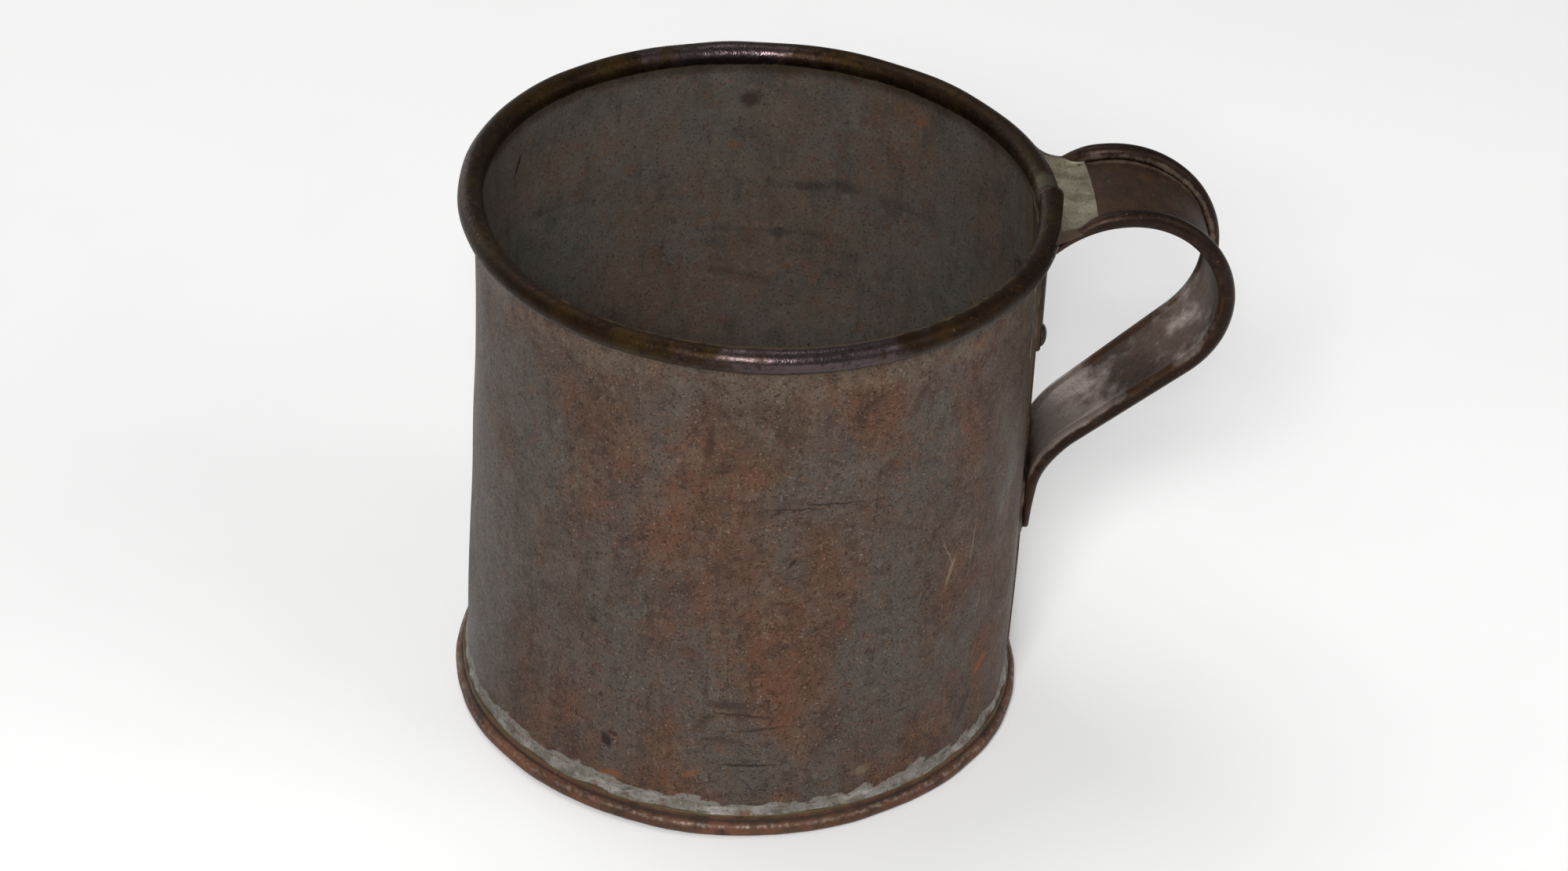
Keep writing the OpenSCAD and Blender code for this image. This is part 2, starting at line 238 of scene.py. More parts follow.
def make_piece(
    name: str, surfaces: list[Surface], finishes: list[bpy.types.Material], crease: float
) -> bpy.types.Object:
    """Joins surfaces into one object whose place is in its mesh.

    Args:
        name: the piece's name.
        surfaces: its closed parts, in mm.
        finishes: its materials, in the order of the slots.
        crease: angle in degrees past which an edge is shaded sharp.

    Returns:
        The object, linked to the scene.
    """
    points, faces, uvs, slots, start = [], [], [], [], 0
    names = sorted({n for s in surfaces for n in s.masks})
    masks: dict[str, list[np.ndarray]] = {n: [] for n in names}
    for s in surfaces:
        flat = s.points.reshape(-1, 3) * MM
        some, uv, slot = s.faces()
        if enclosed(flat, some) < 0:
            sizes = np.array([len(f) for f in some])
            ends = np.cumsum(sizes)
            order = np.concatenate([np.arange(e - 1, e - n - 1, -1) for e, n in zip(ends, sizes)])
            some, uv = [f[::-1] for f in some], uv[order]
        points.append(flat)
        faces += [[v + start for v in f] for f in some]
        uvs.append(uv)
        slots.append(slot)
        for n in names:
            masks[n].append(s.masks.get(n, np.zeros(s.points.shape[:2])).ravel())
        start += len(flat)
    mesh = bpy.data.meshes.new(name)
    mesh.from_pydata(np.concatenate(points).tolist(), [], faces)
    layer = mesh.uv_layers.new(name=UV_NAME)
    layer.data.foreach_set("uv", np.concatenate(uvs).astype(np.float32).ravel())
    mesh.polygons.foreach_set("material_index", np.concatenate(slots).astype(np.int32))
    mesh.polygons.foreach_set("use_smooth", np.ones(len(faces), bool))
    for n in names:
        values = mesh.attributes.new(n, "FLOAT", "POINT")
        values.data.foreach_set("value", np.concatenate(masks[n]).astype(np.float32))
    drop_loose(mesh)
    mesh.set_sharp_from_angle(angle=math.radians(crease))
    mesh.update()
    for finish in finishes:
        mesh.materials.append(finish)
    piece = bpy.data.objects.new(name, mesh)
    bpy.context.scene.collection.objects.link(piece)
    return piece


def drop_loose(mesh: bpy.types.Mesh) -> None:
    """Removes the points that a pole left without a face.

    Args:
        mesh: the mesh to clean.
    """
    work = bmesh.new()
    work.from_mesh(mesh)
    loose = [v for v in work.verts if not v.link_faces]
    if loose:
        bmesh.ops.delete(work, geom=loose, context="VERTS")
        work.to_mesh(mesh)
    work.free()


# --------------------------------------------------------------------------- materials


def add_node(
    tree: bpy.types.NodeTree, kind: str, feeds: dict | None = None, **settings: object
) -> bpy.types.Node:
    """Adds one node, with its settings and what goes into its sockets.

    Args:
        tree: the node tree.
        kind: the node's type.
        feeds: socket name or number to an output socket, which is linked, or a value.
        settings: the node's own properties.

    Returns:
        The node.
    """
    node = tree.nodes.new(kind)
    for key, value in settings.items():
        setattr(node, key, value)
    for key, value in (feeds or {}).items():
        if isinstance(value, bpy.types.NodeSocket):
            tree.links.new(value, node.inputs[key])
        else:
            node.inputs[key].default_value = value
    return node


@dataclass(frozen=True)
class Patch:
    """One uneven layer of a finish, laid where a noise field is high.

    Args:
        tint: colour of the layer.
        size: typical width of its patches, mm.
        low: noise value at which the layer begins.
        high: noise value at which it is full.
        share: how much it covers where it is full.
        stretch: how many times longer the patches are along x, y and z.
        detail: octaves of finer noise at the patches' edges.
        rough: roughness of the layer, or None to leave what is below.
        metal: metallic value of the layer, or None to leave what is below.
        lift: height of the layer over what is below, mm.
        where: vertex attribute that adds to the noise, or an empty string.
        gain: how strongly that attribute counts.
        seed: shifts the noise.
    """

    tint: str
    size: float
    low: float
    high: float
    share: float = 1.0
    stretch: tuple[float, float, float] = EVEN
    detail: float = 3.0
    rough: float | None = None
    metal: float | None = None
    lift: float = 0.0
    where: str = ""
    gain: float = 1.0
    seed: float = 0.0


class Stroke(Enum):
    """What a single mark on the sheet is."""

    SCORE = "score"
    RUB = "rub"
    RUST = "rust"
    PIT = "pit"
    STAIN = "stain"


@dataclass(frozen=True)
class Mark:
    """One scratch, rub or pit, as a thin ellipse on the unrolled sheet.

    Args:
        azimuth: its middle, degrees from the handle.
        height: its middle, mm above the foot.
        length: its whole length, mm.
        width: its whole width, mm.
        tilt: degrees that it rises anticlockwise from level.
        stroke: what kind of mark it is.
        share: how strongly it covers.
    """

    azimuth: float
    height: float
    length: float
    width: float
    tilt: float
    stroke: Stroke
    share: float = 0.8


@dataclass(frozen=True)
class Grain:
    """Fine bumps: noise of a size in mm and a height in mm."""

    size: float
    height: float
    stretch: tuple[float, float, float] = EVEN


STROKE_TINTS = {
    Stroke.STAIN: "#33241e",
    Stroke.RUST: "#74462a",
    Stroke.RUB: "#7d6f5b",
    Stroke.SCORE: "#1d1512",
    Stroke.PIT: "#1b1411",
}
STROKE_LIFTS = {
    Stroke.STAIN: 0.0,
    Stroke.RUST: 0.01,
    Stroke.RUB: -0.01,
    Stroke.SCORE: -0.04,
    Stroke.PIT: -0.12,
}


@dataclass(frozen=True)
class Finish:
    """A metal surface made of a base coat, uneven layers, single marks and grain.

    Args:
        name: common name of the real finish.
        base: colour under everything.
        metal: metallic value of the base.
        rough: roughness of the base.
        specular: specular level of the shader.
        patches: layers from the lowest to the uppermost.
        marks: single marks, which need the sheet's own uv.
        marks_radius: radius that turns a mark's azimuth into length, mm.
        grain: fine bumps.
        glitter: how much fine noise swings the roughness.
    """

    name: str
    base: str
    metal: float
    rough: float
    specular: float = 0.4
    patches: tuple[Patch, ...] = ()
    marks: tuple[Mark, ...] = ()
    marks_radius: float = WALL_OUTER
    grain: tuple[Grain, ...] = ()
    glitter: float = 0.0

    def build(self) -> bpy.types.Material:
        """Makes the material.

        Each patch's mask is a smooth step of noise plus its attribute; the mask mixes
        the patch's colour, roughness and metallic value over what is below, and its
        lift is added to the bump height.  Marks come last.

        Returns:
            The material.
        """
        material = bpy.data.materials.new(self.name)
        material.use_nodes = True
        tree = material.node_tree
        tree.nodes.clear()
        place = add_node(tree, "ShaderNodeTexCoord").outputs["Object"]
        state = {"colour": linear(self.base), "rough": self.rough, "metal": self.metal, "height": 0.0}
        for number, patch in enumerate(self.patches):
            mask = self._patch_mask(tree, place, patch, number)
            self._lay(tree, state, mask, patch.tint, patch.rough, patch.metal, patch.lift)
        if self.marks:
            self._add_marks(tree, place, state)
        for number, grain in enumerate(self.grain):
            noise = self._noise(tree, place, grain.size, grain.stretch, 2.0, GRAIN_SEED + number)
            state["height"] = self._add_scaled(tree, noise, grain.height, state["height"])
        if self.glitter:
            noise = self._noise(tree, place, FINEST_GRAIN, EVEN, 2.0, GLITTER_SEED)
            centred = add_node(tree, "ShaderNodeMath", {0: noise, 1: 0.5}, operation="SUBTRACT").outputs[0]
            state["rough"] = add_node(
                tree,
                "ShaderNodeMath",
                {0: centred, 1: self.glitter, 2: state["rough"]},
                operation="MULTIPLY_ADD",
                use_clamp=True,
            ).outputs[0]
        bump = add_node(tree, "ShaderNodeBump", {"Height": state["height"], "Distance": MM, "Strength": 1.0})
        shader = add_node(
            tree,
            "ShaderNodeBsdfPrincipled",
            {
                "Base Color": state["colour"],
                "Metallic": state["metal"],
                "Roughness": state["rough"],
                "Normal": bump.outputs[0],
                "Specular IOR Level": self.specular,
            },
        )
        add_node(tree, "ShaderNodeOutputMaterial", {"Surface": shader.outputs[0]})
        return material

    @staticmethod
    def _add_scaled(
        tree: bpy.types.NodeTree,
        value: bpy.types.NodeSocket,
        scale: float,
        base: bpy.types.NodeSocket | float,
    ) -> bpy.types.NodeSocket:
        """A base plus a value times a scale.

        Args:
            tree: the node tree.
            value: what is scaled.
            scale: the factor.
            base: what it is added to.

        Returns:
            The sum.
        """
        feeds = {0: value, 1: scale, 2: base}
        return add_node(tree, "ShaderNodeMath", feeds, operation="MULTIPLY_ADD").outputs[0]

    @staticmethod
    def _step(
        tree: bpy.types.NodeTree, value: bpy.types.NodeSocket, low: float, high: float, share: float
    ) -> bpy.types.NodeSocket:
        """Smooth step of a value.

        Args:
            tree: the node tree.
            value: what is stepped.
            low: where the step begins.
            high: where it ends.
            share: how high it rises from nought.

        Returns:
            The stepped value.
        """
        feeds = {"Value": value, "From Min": low, "From Max": high, "To Min": 0.0, "To Max": share}
        return add_node(tree, "ShaderNodeMapRange", feeds, interpolation_type="SMOOTHSTEP").outputs[0]

    def _noise(
        self,
        tree: bpy.types.NodeTree,
        place: bpy.types.NodeSocket,
        size: float,
        stretch: tuple[float, float, float],
        detail: float,
        seed: float,
    ) -> bpy.types.NodeSocket:
        """Noise on Object coordinates, one hump about size mm wide.

        Args:
            tree: the node tree.
            place: the coordinates.
            size: width of a hump, mm.
            stretch: how many times longer it is along each axis.
            detail: octaves.
            seed: shift of the pattern.

        Returns:
            The noise value, from 0 to 1.
        """
        scale = [1 / (size * MM * s) for s in stretch]
        shift = (seed * 7.3, seed * 3.1, seed * 5.7)
        mapped = add_node(tree, "ShaderNodeMapping", {"Vector": place, "Scale": scale, "Location": shift})
        noise = add_node(
            tree,
            "ShaderNodeTexNoise",
            {"Vector": mapped.outputs[0], "Scale": 1.0, "Detail": detail, "Roughness": 0.6},
        )
        return noise.outputs[0]

    def _patch_mask(
        self, tree: bpy.types.NodeTree, place: bpy.types.NodeSocket, patch: Patch, number: int
    ) -> bpy.types.NodeSocket:
        """Mask of one patch: smooth step of its noise and its attribute, times its share.

        Args:
            tree: the node tree.
            place: the coordinates.
            patch: the patch.
            number: its place in the list, which seeds its noise.

        Returns:
            The mask.
        """
        value = self._noise(tree, place, patch.size, patch.stretch, patch.detail, patch.seed + number + 1)
        if patch.where:
            settings = {"attribute_name": patch.where, "attribute_type": "GEOMETRY"}
            spot = add_node(tree, "ShaderNodeAttribute", **settings)
            value = self._add_scaled(tree, spot.outputs["Fac"], patch.gain, value)
        return self._step(tree, value, patch.low, patch.high, patch.share)

    def _lay(
        self,
        tree: bpy.types.NodeTree,
        state: dict,
        mask: bpy.types.NodeSocket,
        tint: str,
        rough: float | None,
        metal: float | None,
        lift: float,
    ) -> None:
        """Lays one masked layer over the colour, roughness, metallic value and height.

        Args:
            tree: the node tree.
            state: what lies below, which is updated.
            mask: where the layer is.
            tint: its colour.
            rough: its roughness, or None.
            metal: its metallic value, or None.
            lift: its height, mm.
        """
        state["colour"] = add_node(
            tree,
            "ShaderNodeMix",
            {0: mask, 6: state["colour"], 7: linear(tint)},
            data_type="RGBA",
            clamp_factor=True,
        ).outputs[2]
        for key, value in (("rough", rough), ("metal", metal)):
            if value is not None:
                feeds = {0: mask, 2: state[key], 3: value}
                state[key] = add_node(tree, "ShaderNodeMix", feeds, data_type="FLOAT").outputs[0]
        if lift:
            state["height"] = self._add_scaled(tree, mask, lift, state["height"])

    def _add_marks(self, tree: bpy.types.NodeTree, place: bpy.types.NodeSocket, state: dict) -> None:
        """Lays the single marks, each a ragged ellipse on the sheet's uv.

        The uv is shifted by fine noise, brought to the mark's own axes and divided by
        its half sizes; the mark is where the length of that is under 1.

        Args:
            tree: the node tree.
            place: the Object coordinates, for the raggedness.
            state: what lies below, which is updated.
        """
        flat = add_node(tree, "ShaderNodeUVMap", uv_map=UV_NAME).outputs[0]
        feeds = {"Vector": place, "Scale": 1 / (RAG_SIZE * MM), "Detail": 3.0, "Roughness": 0.65}
        ragged = add_node(tree, "ShaderNodeTexNoise", feeds)
        feeds = {0: ragged.outputs[1], 1: (0.5, 0.5, 0.5)}
        centred = add_node(tree, "ShaderNodeVectorMath", feeds, operation="SUBTRACT").outputs[0]
        feeds = {0: centred, 1: (RAG_REACH * MM, RAG_REACH * MM, 0.0), 2: flat}
        shifted = add_node(tree, "ShaderNodeVectorMath", feeds, operation="MULTIPLY_ADD").outputs[0]
        for stroke in STROKE_TINTS:
            total = None
            for mark in (m for m in self.marks if m.stroke is stroke):
                arc = math.radians(mark.azimuth % 360.0) * self.marks_radius
                own = add_node(
                    tree,
                    "ShaderNodeMapping",
                    {
                        "Vector": shifted,
                        "Location": (arc * MM, mark.height * MM, 0.0),
                        "Rotation": (0.0, 0.0, math.radians(mark.tilt)),
                        "Scale": (mark.length / 2 * MM, mark.width / 2 * MM, 1.0),
                    },
                    vector_type="TEXTURE",
                )
                length = add_node(tree, "ShaderNodeVectorMath", {0: own.outputs[0]}, operation="LENGTH")
                away = length.outputs["Value"]
                mask = self._step(tree, away, 1.0, MARK_CORE, mark.share)
                if total is not None:
                    feeds = {0: total, 1: mask}
                    mask = add_node(tree, "ShaderNodeMath", feeds, operation="MAXIMUM").outputs[0]
                total = mask
            if total is not None:
                self._lay(tree, state, total, STROKE_TINTS[stroke], None, None, STROKE_LIFTS[stroke])


# Hot-dipped tinplate worn dull and stained by rust: a grey-brown skin, clouded and
# streaked up and down, with a fine dark speckle that keeps it from looking like paint.
OUTSIDE_TIN = Finish(
    name="worn_tinplate_outside",
    base="#493b31",
    metal=0.22,
    rough=0.62,
    specular=0.16,
    patches=(
        Patch(
            "#573a2b", 22, 0.42, 0.68, 0.9, stretch=(1, 1, 1.6), rough=0.68, metal=0.12,
            where="stain", gain=0.26,
        ),
        Patch("#392b23", 9, 0.47, 0.65, 0.7, detail=6, seed=101, where="stain", gain=0.05),
        Patch(
            "#4c4640", 15, 0.44, 0.7, 0.9, stretch=(1, 1, 1.8), rough=0.52, metal=0.35,
            where="grey", gain=0.24,
        ),
        Patch("#63564a", 3.5, 0.86, 1.2, 0.6, where="dust", gain=0.6, seed=97, detail=5),
        Patch("#5b5148", 7, 0.50, 0.70, 0.5, detail=6, seed=103, rough=0.5, metal=0.3),
        Patch("#33261f", 5, 0.52, 0.76, 0.4, stretch=(1, 1, 5), seed=11),
        Patch("#5e5246", 2.6, 0.56, 0.78, 0.35, stretch=(1, 1, 9), seed=23),
        Patch("#30221a", 2.4, 0.48, 0.66, 0.5, seed=31, detail=5),
        Patch("#5a3d2d", 2.0, 0.54, 0.68, 0.5, seed=35, detail=5, where="stain", gain=0.04),
        Patch("#66594a", 1.3, 0.54, 0.7, 0.4, seed=37, detail=5),
        Patch(
            "#643f2a", 6, 0.60, 0.9, 0.58, where="rust", gain=0.28, seed=43, detail=6,
            rough=0.8, metal=0.0,
        ),
        Patch("#764f36", 0.7, 0.61, 0.73, 0.4, seed=71, detail=3, where="stain", gain=0.06),
        Patch(
            "#79766e", 3, 0.93, 1.12, 0.8, where="solder", gain=0.75, seed=59, detail=5,
            rough=0.5, metal=0.3,
        ),
        Patch("#1a120f", 0.5, 0.55, 0.66, 0.6, seed=47, detail=2, lift=-0.01),
        Patch("#93877a", 0.42, 0.61, 0.72, 0.42, seed=53, detail=2),
        # painted shade: near black in a line just under the rim's crease
        Patch(
            "#1d1511", 3, 0.8, 1.1, 0.8, where="grime", gain=0.8, seed=67, detail=3, rough=0.7,
            metal=0.1,
        ),
    ),
    marks=(
        Mark(-78, 68.7, 15, 0.6, -4, Stroke.SCORE, 0.75),
        Mark(-85.5, 68.1, 13, 0.55, -2, Stroke.SCORE, 0.7),
        Mark(-68.6, 65, 31, 0.45, 88, Stroke.SCORE, 0.4),
        Mark(-75.5, 84, 15, 0.4, -12, Stroke.SCORE, 0.35),
        Mark(-102.8, 81, 11, 2.2, 84, Stroke.STAIN, 0.7),
        Mark(-100.5, 76, 6, 3.0, 20, Stroke.STAIN, 0.55),
        Mark(-122.2, 14.8, 4.6, 2.6, -70, Stroke.PIT, 0.85),
        Mark(-120.8, 16.6, 2.6, 1.6, 0, Stroke.PIT, 0.7),
        Mark(-125.8, 39.2, 2.2, 1.7, 0, Stroke.PIT, 0.6),
        Mark(-124, 24, 1.3, 1.0, 0, Stroke.PIT, 0.6),
        Mark(-85.5, 57, 4, 1.0, 52, Stroke.PIT, 0.7),
        Mark(-56, 44, 3.4, 0.8, 62, Stroke.PIT, 0.5),
        Mark(-49, 50, 14, 0.5, -66, Stroke.RUB, 0.5),
        Mark(-34.5, 20.5, 6, 3.0, 35, Stroke.RUST, 0.8),
        Mark(-38.3, 25, 6, 1.2, 75, Stroke.RUST, 0.45),
        Mark(-48.5, 47, 9, 1.3, 70, Stroke.RUB, 0.6),
        Mark(-42, 50, 12, 0.6, 82, Stroke.RUB, 0.5),
        Mark(-26.6, 51, 9, 1.6, 78, Stroke.RUST, 0.4),
        Mark(-24, 66, 20, 0.9, 84, Stroke.RUST, 0.45),
        Mark(-35.6, 68.5, 10, 1.0, 75, Stroke.STAIN, 0.6),
        Mark(-134, 83, 13, 4.5, 80, Stroke.RUST, 0.16),
        Mark(-94, 25.4, 16, 0.9, -4, Stroke.STAIN, 0.85),
        Mark(-97, 27.4, 12, 2.6, 2, Stroke.STAIN, 0.6),
        Mark(-90, 22.4, 12, 1.0, 8, Stroke.STAIN, 0.7),
        Mark(-97, 19.8, 10, 2.0, 0, Stroke.STAIN, 0.5),
        Mark(-102, 23, 7, 3.2, 60, Stroke.STAIN, 0.5),
        Mark(-92.5, 14.6, 15, 0.9, -1, Stroke.SCORE, 0.7),
        Mark(-99.8, 10.8, 9, 0.35, 26, Stroke.SCORE, 0.65),
        Mark(-92.5, 10.5, 5.2, 0.35, -52, Stroke.SCORE, 0.65),
        Mark(-89, 9.2, 3.4, 0.35, 6, Stroke.SCORE, 0.6),
        Mark(-60, 86, 11, 2.4, 60, Stroke.STAIN, 0.4),
        Mark(-67, 74, 8, 3, 50, Stroke.STAIN, 0.5),
        Mark(-59, 21, 5, 0.8, 0, Stroke.STAIN, 0.7),
        Mark(-39.6, 13.5, 12, 2.4, 64, Stroke.STAIN, 0.7),
        Mark(-68, 10.5, 5, 2.6, 0, Stroke.RUB, 0.4),
        Mark(-44.5, 92, 5, 1.4, 30, Stroke.RUST, 0.55),
        Mark(-104, 12, 5, 2, 30, Stroke.RUST, 0.5),
        Mark(-121, 8, 6, 2.4, 10, Stroke.RUST, 0.6),
        Mark(-38, 36, 9, 0.5, 75, Stroke.RUB, 0.5),
        Mark(60, 55, 24, 0.5, 12, Stroke.SCORE, 0.5),
        Mark(112, 34, 16, 0.5, 80, Stroke.SCORE, 0.5),
        Mark(95, 70, 5, 2.6, 30, Stroke.PIT, 0.5),
        Mark(150, 60, 14, 2.5, 78, Stroke.RUST, 0.5),
        Mark(75, 26, 11, 1.6, 20, Stroke.STAIN, 0.6),
        Mark(35, 40, 9, 4, 60, Stroke.STAIN, 0.5),
    ),
    grain=(Grain(0.6, 0.045), Grain(3.5, 0.12), Grain(12, 0.2, (1, 1, 2))),
    glitter=0.3,
)

# The same plate inside, where liquids have left it darker, bluer and evener, with level
# tide lines and faint brown clouds.
INSIDE_TIN = Finish(
    name="worn_tinplate_inside",
    base="#58524a",
    metal=0.28,
    rough=0.58,
    specular=0.25,
    marks_radius=WALL_INNER,
    patches=(
        Patch(
            "#5a4739", 18, 0.42, 0.72, 0.55, stretch=(1, 1, 1.5), rough=0.66, metal=0.15,
            where="stain", gain=0.3,
        ),
        Patch("#5d5853", 14, 0.44, 0.7, 0.65, seed=5, rough=0.52, metal=0.35),
        Patch("#393733", 7, 0.48, 0.72, 0.5, seed=13, detail=6),
        Patch("#65605b", 5, 0.52, 0.72, 0.4, seed=15, detail=6, rough=0.5),
        Patch("#3a332c", 3, 0.5, 0.7, 0.3, stretch=(1, 1, 4), seed=29),
        Patch("#71665a", 1.4, 0.54, 0.7, 0.38, seed=37, detail=5),
        Patch("#63422f", 2.2, 0.56, 0.7, 0.4, seed=39, detail=5, where="stain", gain=0.08),
        Patch(
            "#6d4029", 3, 0.68, 0.86, 0.65, seed=43, detail=5, where="rust", gain=0.3,
            rough=0.8, metal=0.0,
        ),
        Patch(
            "#282828", 2.2, 0.60, 1.34, 0.55, stretch=(1.5, 1.5, 0.7), seed=91, detail=6,
            where="tide", gain=0.5,
        ),
        Patch("#1d1815", 0.5, 0.55, 0.67, 0.5, seed=47, detail=2, lift=-0.008),
        Patch("#8a8377", 0.42, 0.62, 0.73, 0.36, seed=53, detail=2),
        Patch(
            "#544c36", 2.5, 0.85, 1.1, 0.75, where="solder", gain=0.6, seed=59, detail=5,
            stretch=(1, 1, 3),
        ),
        Patch("#3b2b1f", 5, 0.74, 1.4, 0.72, where="lip", gain=0.7, seed=73, detail=4),
        # painted shade: darker in the corner between the wall and the floor
        Patch(
            "#1f1713", 4, 0.8, 1.15, 0.8, where="grime", gain=0.8, seed=67, detail=3,
            rough=0.7, metal=0.1,
        ),
    ),
    marks=(
        Mark(146.5, 89, 6.5, 1.1, -62, Stroke.SCORE, 0.9),
        Mark(87.7, 90.3, 5.6, 4.6, 0, Stroke.STAIN, 0.75),
        Mark(86.4, 91.2, 4.0, 2.6, 30, Stroke.STAIN, 0.5),
        Mark(51.3, 93, 12, 7, 0, Stroke.RUST, 0.2),
        Mark(90.9, 80.6, 2.4, 2.0, 0, Stroke.RUST, 0.5),
        Mark(72, 53, 9, 0.3, -60, Stroke.RUST, 0.6),
        Mark(80, 55, 8, 0.3, -25, Stroke.RUST, 0.5),
        Mark(47, 62, 7, 0.3, 70, Stroke.RUST, 0.5),
        Mark(30, 62, 8, 0.35, 40, Stroke.RUB, 0.7),
        Mark(12.2, 78, 6.4, 6.0, 0, Stroke.SCORE, 0.6),
        Mark(12.2, 78, 4.4, 4.0, 0, Stroke.RUB, 0.45),
        Mark(-100, 40, 18, 0.9, 0, Stroke.SCORE, 0.5),
        Mark(-140, 62, 15, 0.9, 2, Stroke.SCORE, 0.5),
    ),
    grain=(Grain(0.6, 0.04), Grain(4, 0.12), Grain(13, 0.22)),
    glitter=0.3,
)

# Rolled rim, black with handling: dark purplish oxide polished by lips and cloths;
# brown where it is thin, olive along the inside. Where the bead faces the lamps, at the
# front and on top of the back, a lighter purple-grey glossy band is painted as its highlight.
RIM_TIN = Finish(
    name="handled_black_tin_rim",
    base="#281c12",
    metal=0.8,
    rough=0.46,
    specular=0.12,
    patches=(
        Patch("#34260f", 9, 0.44, 0.66, 0.8, rough=0.52, metal=0.7, detail=4),
        # painted highlight: lighter purple-grey colour, glossy and metallic, where the bead faces the lamps
        Patch(
            "#4d4244", 6, 0.80, 1.12, 0.95, where="front", gain=0.66, seed=5, rough=0.2,
            metal=0.95, detail=4,
        ),
        Patch(
            "#4b3b22", 2.2, 0.80, 1.1, 0.8, where="lip", gain=0.62, rough=0.6, metal=0.1,
            seed=9, detail=5,
        ),
        Patch("#120d0a", 1.6, 0.52, 0.68, 0.6, seed=17, detail=4, rough=0.5),
        Patch("#6a5846", 0.7, 0.62, 0.76, 0.55, seed=29, detail=4, rough=0.3, metal=0.6),
        Patch("#56331f", 2.2, 0.64, 0.76, 0.6, seed=33, detail=5, rough=0.7, metal=0.1),
        Patch("#4f4c3c", 2.2, 0.84, 1.1, 0.75, where="solder", gain=0.62, seed=59, detail=5, rough=0.5),
        Patch("#0d0907", 2, 0.8, 1.1, 0.9, where="grime", gain=0.8, seed=67, rough=0.7, metal=0.1),
    ),
    grain=(Grain(0.45, 0.05), Grain(1.6, 0.07), Grain(7, 0.12)),
    glitter=0.4,
)

# Folded foot seam: the tin has gone along the fold and red-brown rust shows, rubbed
# to bare metal on its crest.
FOOT_TIN = Finish(
    name="rusted_folded_tin_foot",
    base="#4d3325",
    metal=0.3,
    rough=0.5,
    specular=0.3,
    patches=(
        Patch("#6b4330", 7, 0.42, 0.62, 0.75, rough=0.66, metal=0.12, detail=5),
        Patch("#2c211b", 4, 0.5, 0.68, 0.7, seed=9, detail=4),
        Patch("#43361f", 10, 0.5, 0.68, 0.6, seed=13),
        Patch("#4d4327", 2.5, 0.80, 1.1, 0.8, where="patina", gain=0.6, seed=15, detail=4),
        Patch(
            "#857669", 1.0, 0.78, 1.04, 0.6, where="wear", gain=0.4, seed=21, detail=4,
            rough=0.4, metal=0.7,
        ),
        Patch("#1c1410", 0.7, 0.55, 0.68, 0.5, seed=47, detail=3, lift=-0.01),
        # painted shade in the crevice between the collar and the foot bead
        Patch("#221912", 2, 0.76, 1.1, 0.8, where="grime", gain=0.8, seed=67, rough=0.8, metal=0.05),
    ),
    grain=(Grain(0.6, 0.04), Grain(2.2, 0.09)),
    glitter=0.25,
)

# Strap of sheet iron, tin gone: dark brown oxide in the channel, rolled edges black
# and glossy from the hand, light lines rubbed beside them, and a pale grey sheen painted
# on the finger side at the loop and the lower bend.
STRAP_IRON = Finish(
    name="handled_dark_sheet_iron",
    base="#2e1e13",
    metal=0.2,
    rough=0.58,
    specular=0.2,
    patches=(
        Patch("#412b18", 5, 0.44, 0.66, 0.7, seed=3, detail=5, rough=0.58, metal=0.3),
        Patch("#18110c", 3, 0.52, 0.7, 0.6, seed=9, detail=5),
        Patch("#271c17", 4, 0.72, 1.1, 0.9, where="roll", gain=0.62, seed=13, rough=0.38, metal=0.85),
        Patch(
            "#4a3323", 5, 0.70, 1.1, 0.8, where="grip", gain=0.62, seed=17, detail=6,
            rough=0.48, metal=0.2,
        ),
        # painted sheen: pale grey where the lamps reflect off the finger side at the loop and the bend
        Patch(
            "#90847c", 3.5, 0.78, 1.3, 0.9, where="sheen", gain=0.72, seed=19, detail=6,
            rough=0.36, metal=0.5,
        ),
        Patch(
            "#6a5a4c", 1.6, 0.78, 1.2, 0.7, where="wear", gain=0.62, seed=21, detail=5,
            rough=0.5, metal=0.3,
        ),
        Patch("#5c3a22", 1.8, 0.64, 0.76, 0.5, seed=33, detail=5, rough=0.7, metal=0.1),
        Patch("#120c09", 0.5, 0.56, 0.7, 0.45, seed=47, detail=2, lift=-0.006),
        Patch("#8e8073", 0.45, 0.66, 0.76, 0.35, seed=53, detail=2, rough=0.3, metal=0.8),
        Patch(
            "#78715e", 2.4, 0.84, 1.0, 0.92, where="solder", gain=0.72, seed=59, detail=5,
            rough=0.5, metal=0.3,
        ),
        # painted shade inside the rolled edges
        Patch("#120c09", 2, 0.8, 1.1, 0.9, where="grime", gain=0.8, seed=67, rough=0.7, metal=0.1),
    ),
    grain=(Grain(0.5, 0.03), Grain(1.8, 0.07), Grain(6, 0.14)),
    glitter=0.3,
)

# Old tin-lead solder, wiped on hot: pale grey, dull, slightly green, lumpy, with dirt
# held in its hollows.
OLD_SOLDER = Finish(
    name="old_wiped_solder",
    base="#716a59",
    metal=0.3,
    rough=0.52,
    specular=0.3,
    patches=(
        Patch("#85806f", 5, 0.42, 0.7, 0.75, detail=5),
        Patch("#514c3d", 4, 0.42, 0.64, 0.75, seed=9, detail=5, lift=-0.03),
        Patch("#413729", 1.4, 0.58, 0.72, 0.55, seed=17, detail=5, rough=0.65, lift=-0.03),
        Patch("#a09a88", 0.6, 0.6, 0.72, 0.45, seed=27, detail=3, rough=0.4),
        Patch("#2b2119", 0.5, 0.57, 0.69, 0.55, seed=47, detail=2, lift=-0.01),
        Patch("#37291d", 2.6, 0.72, 1.12, 0.92, where="edge", gain=0.7, seed=59, detail=6, rough=0.6),
    ),
    grain=(Grain(0.6, 0.025), Grain(2.2, 0.10), Grain(6, 0.2)),
    glitter=0.25,
)

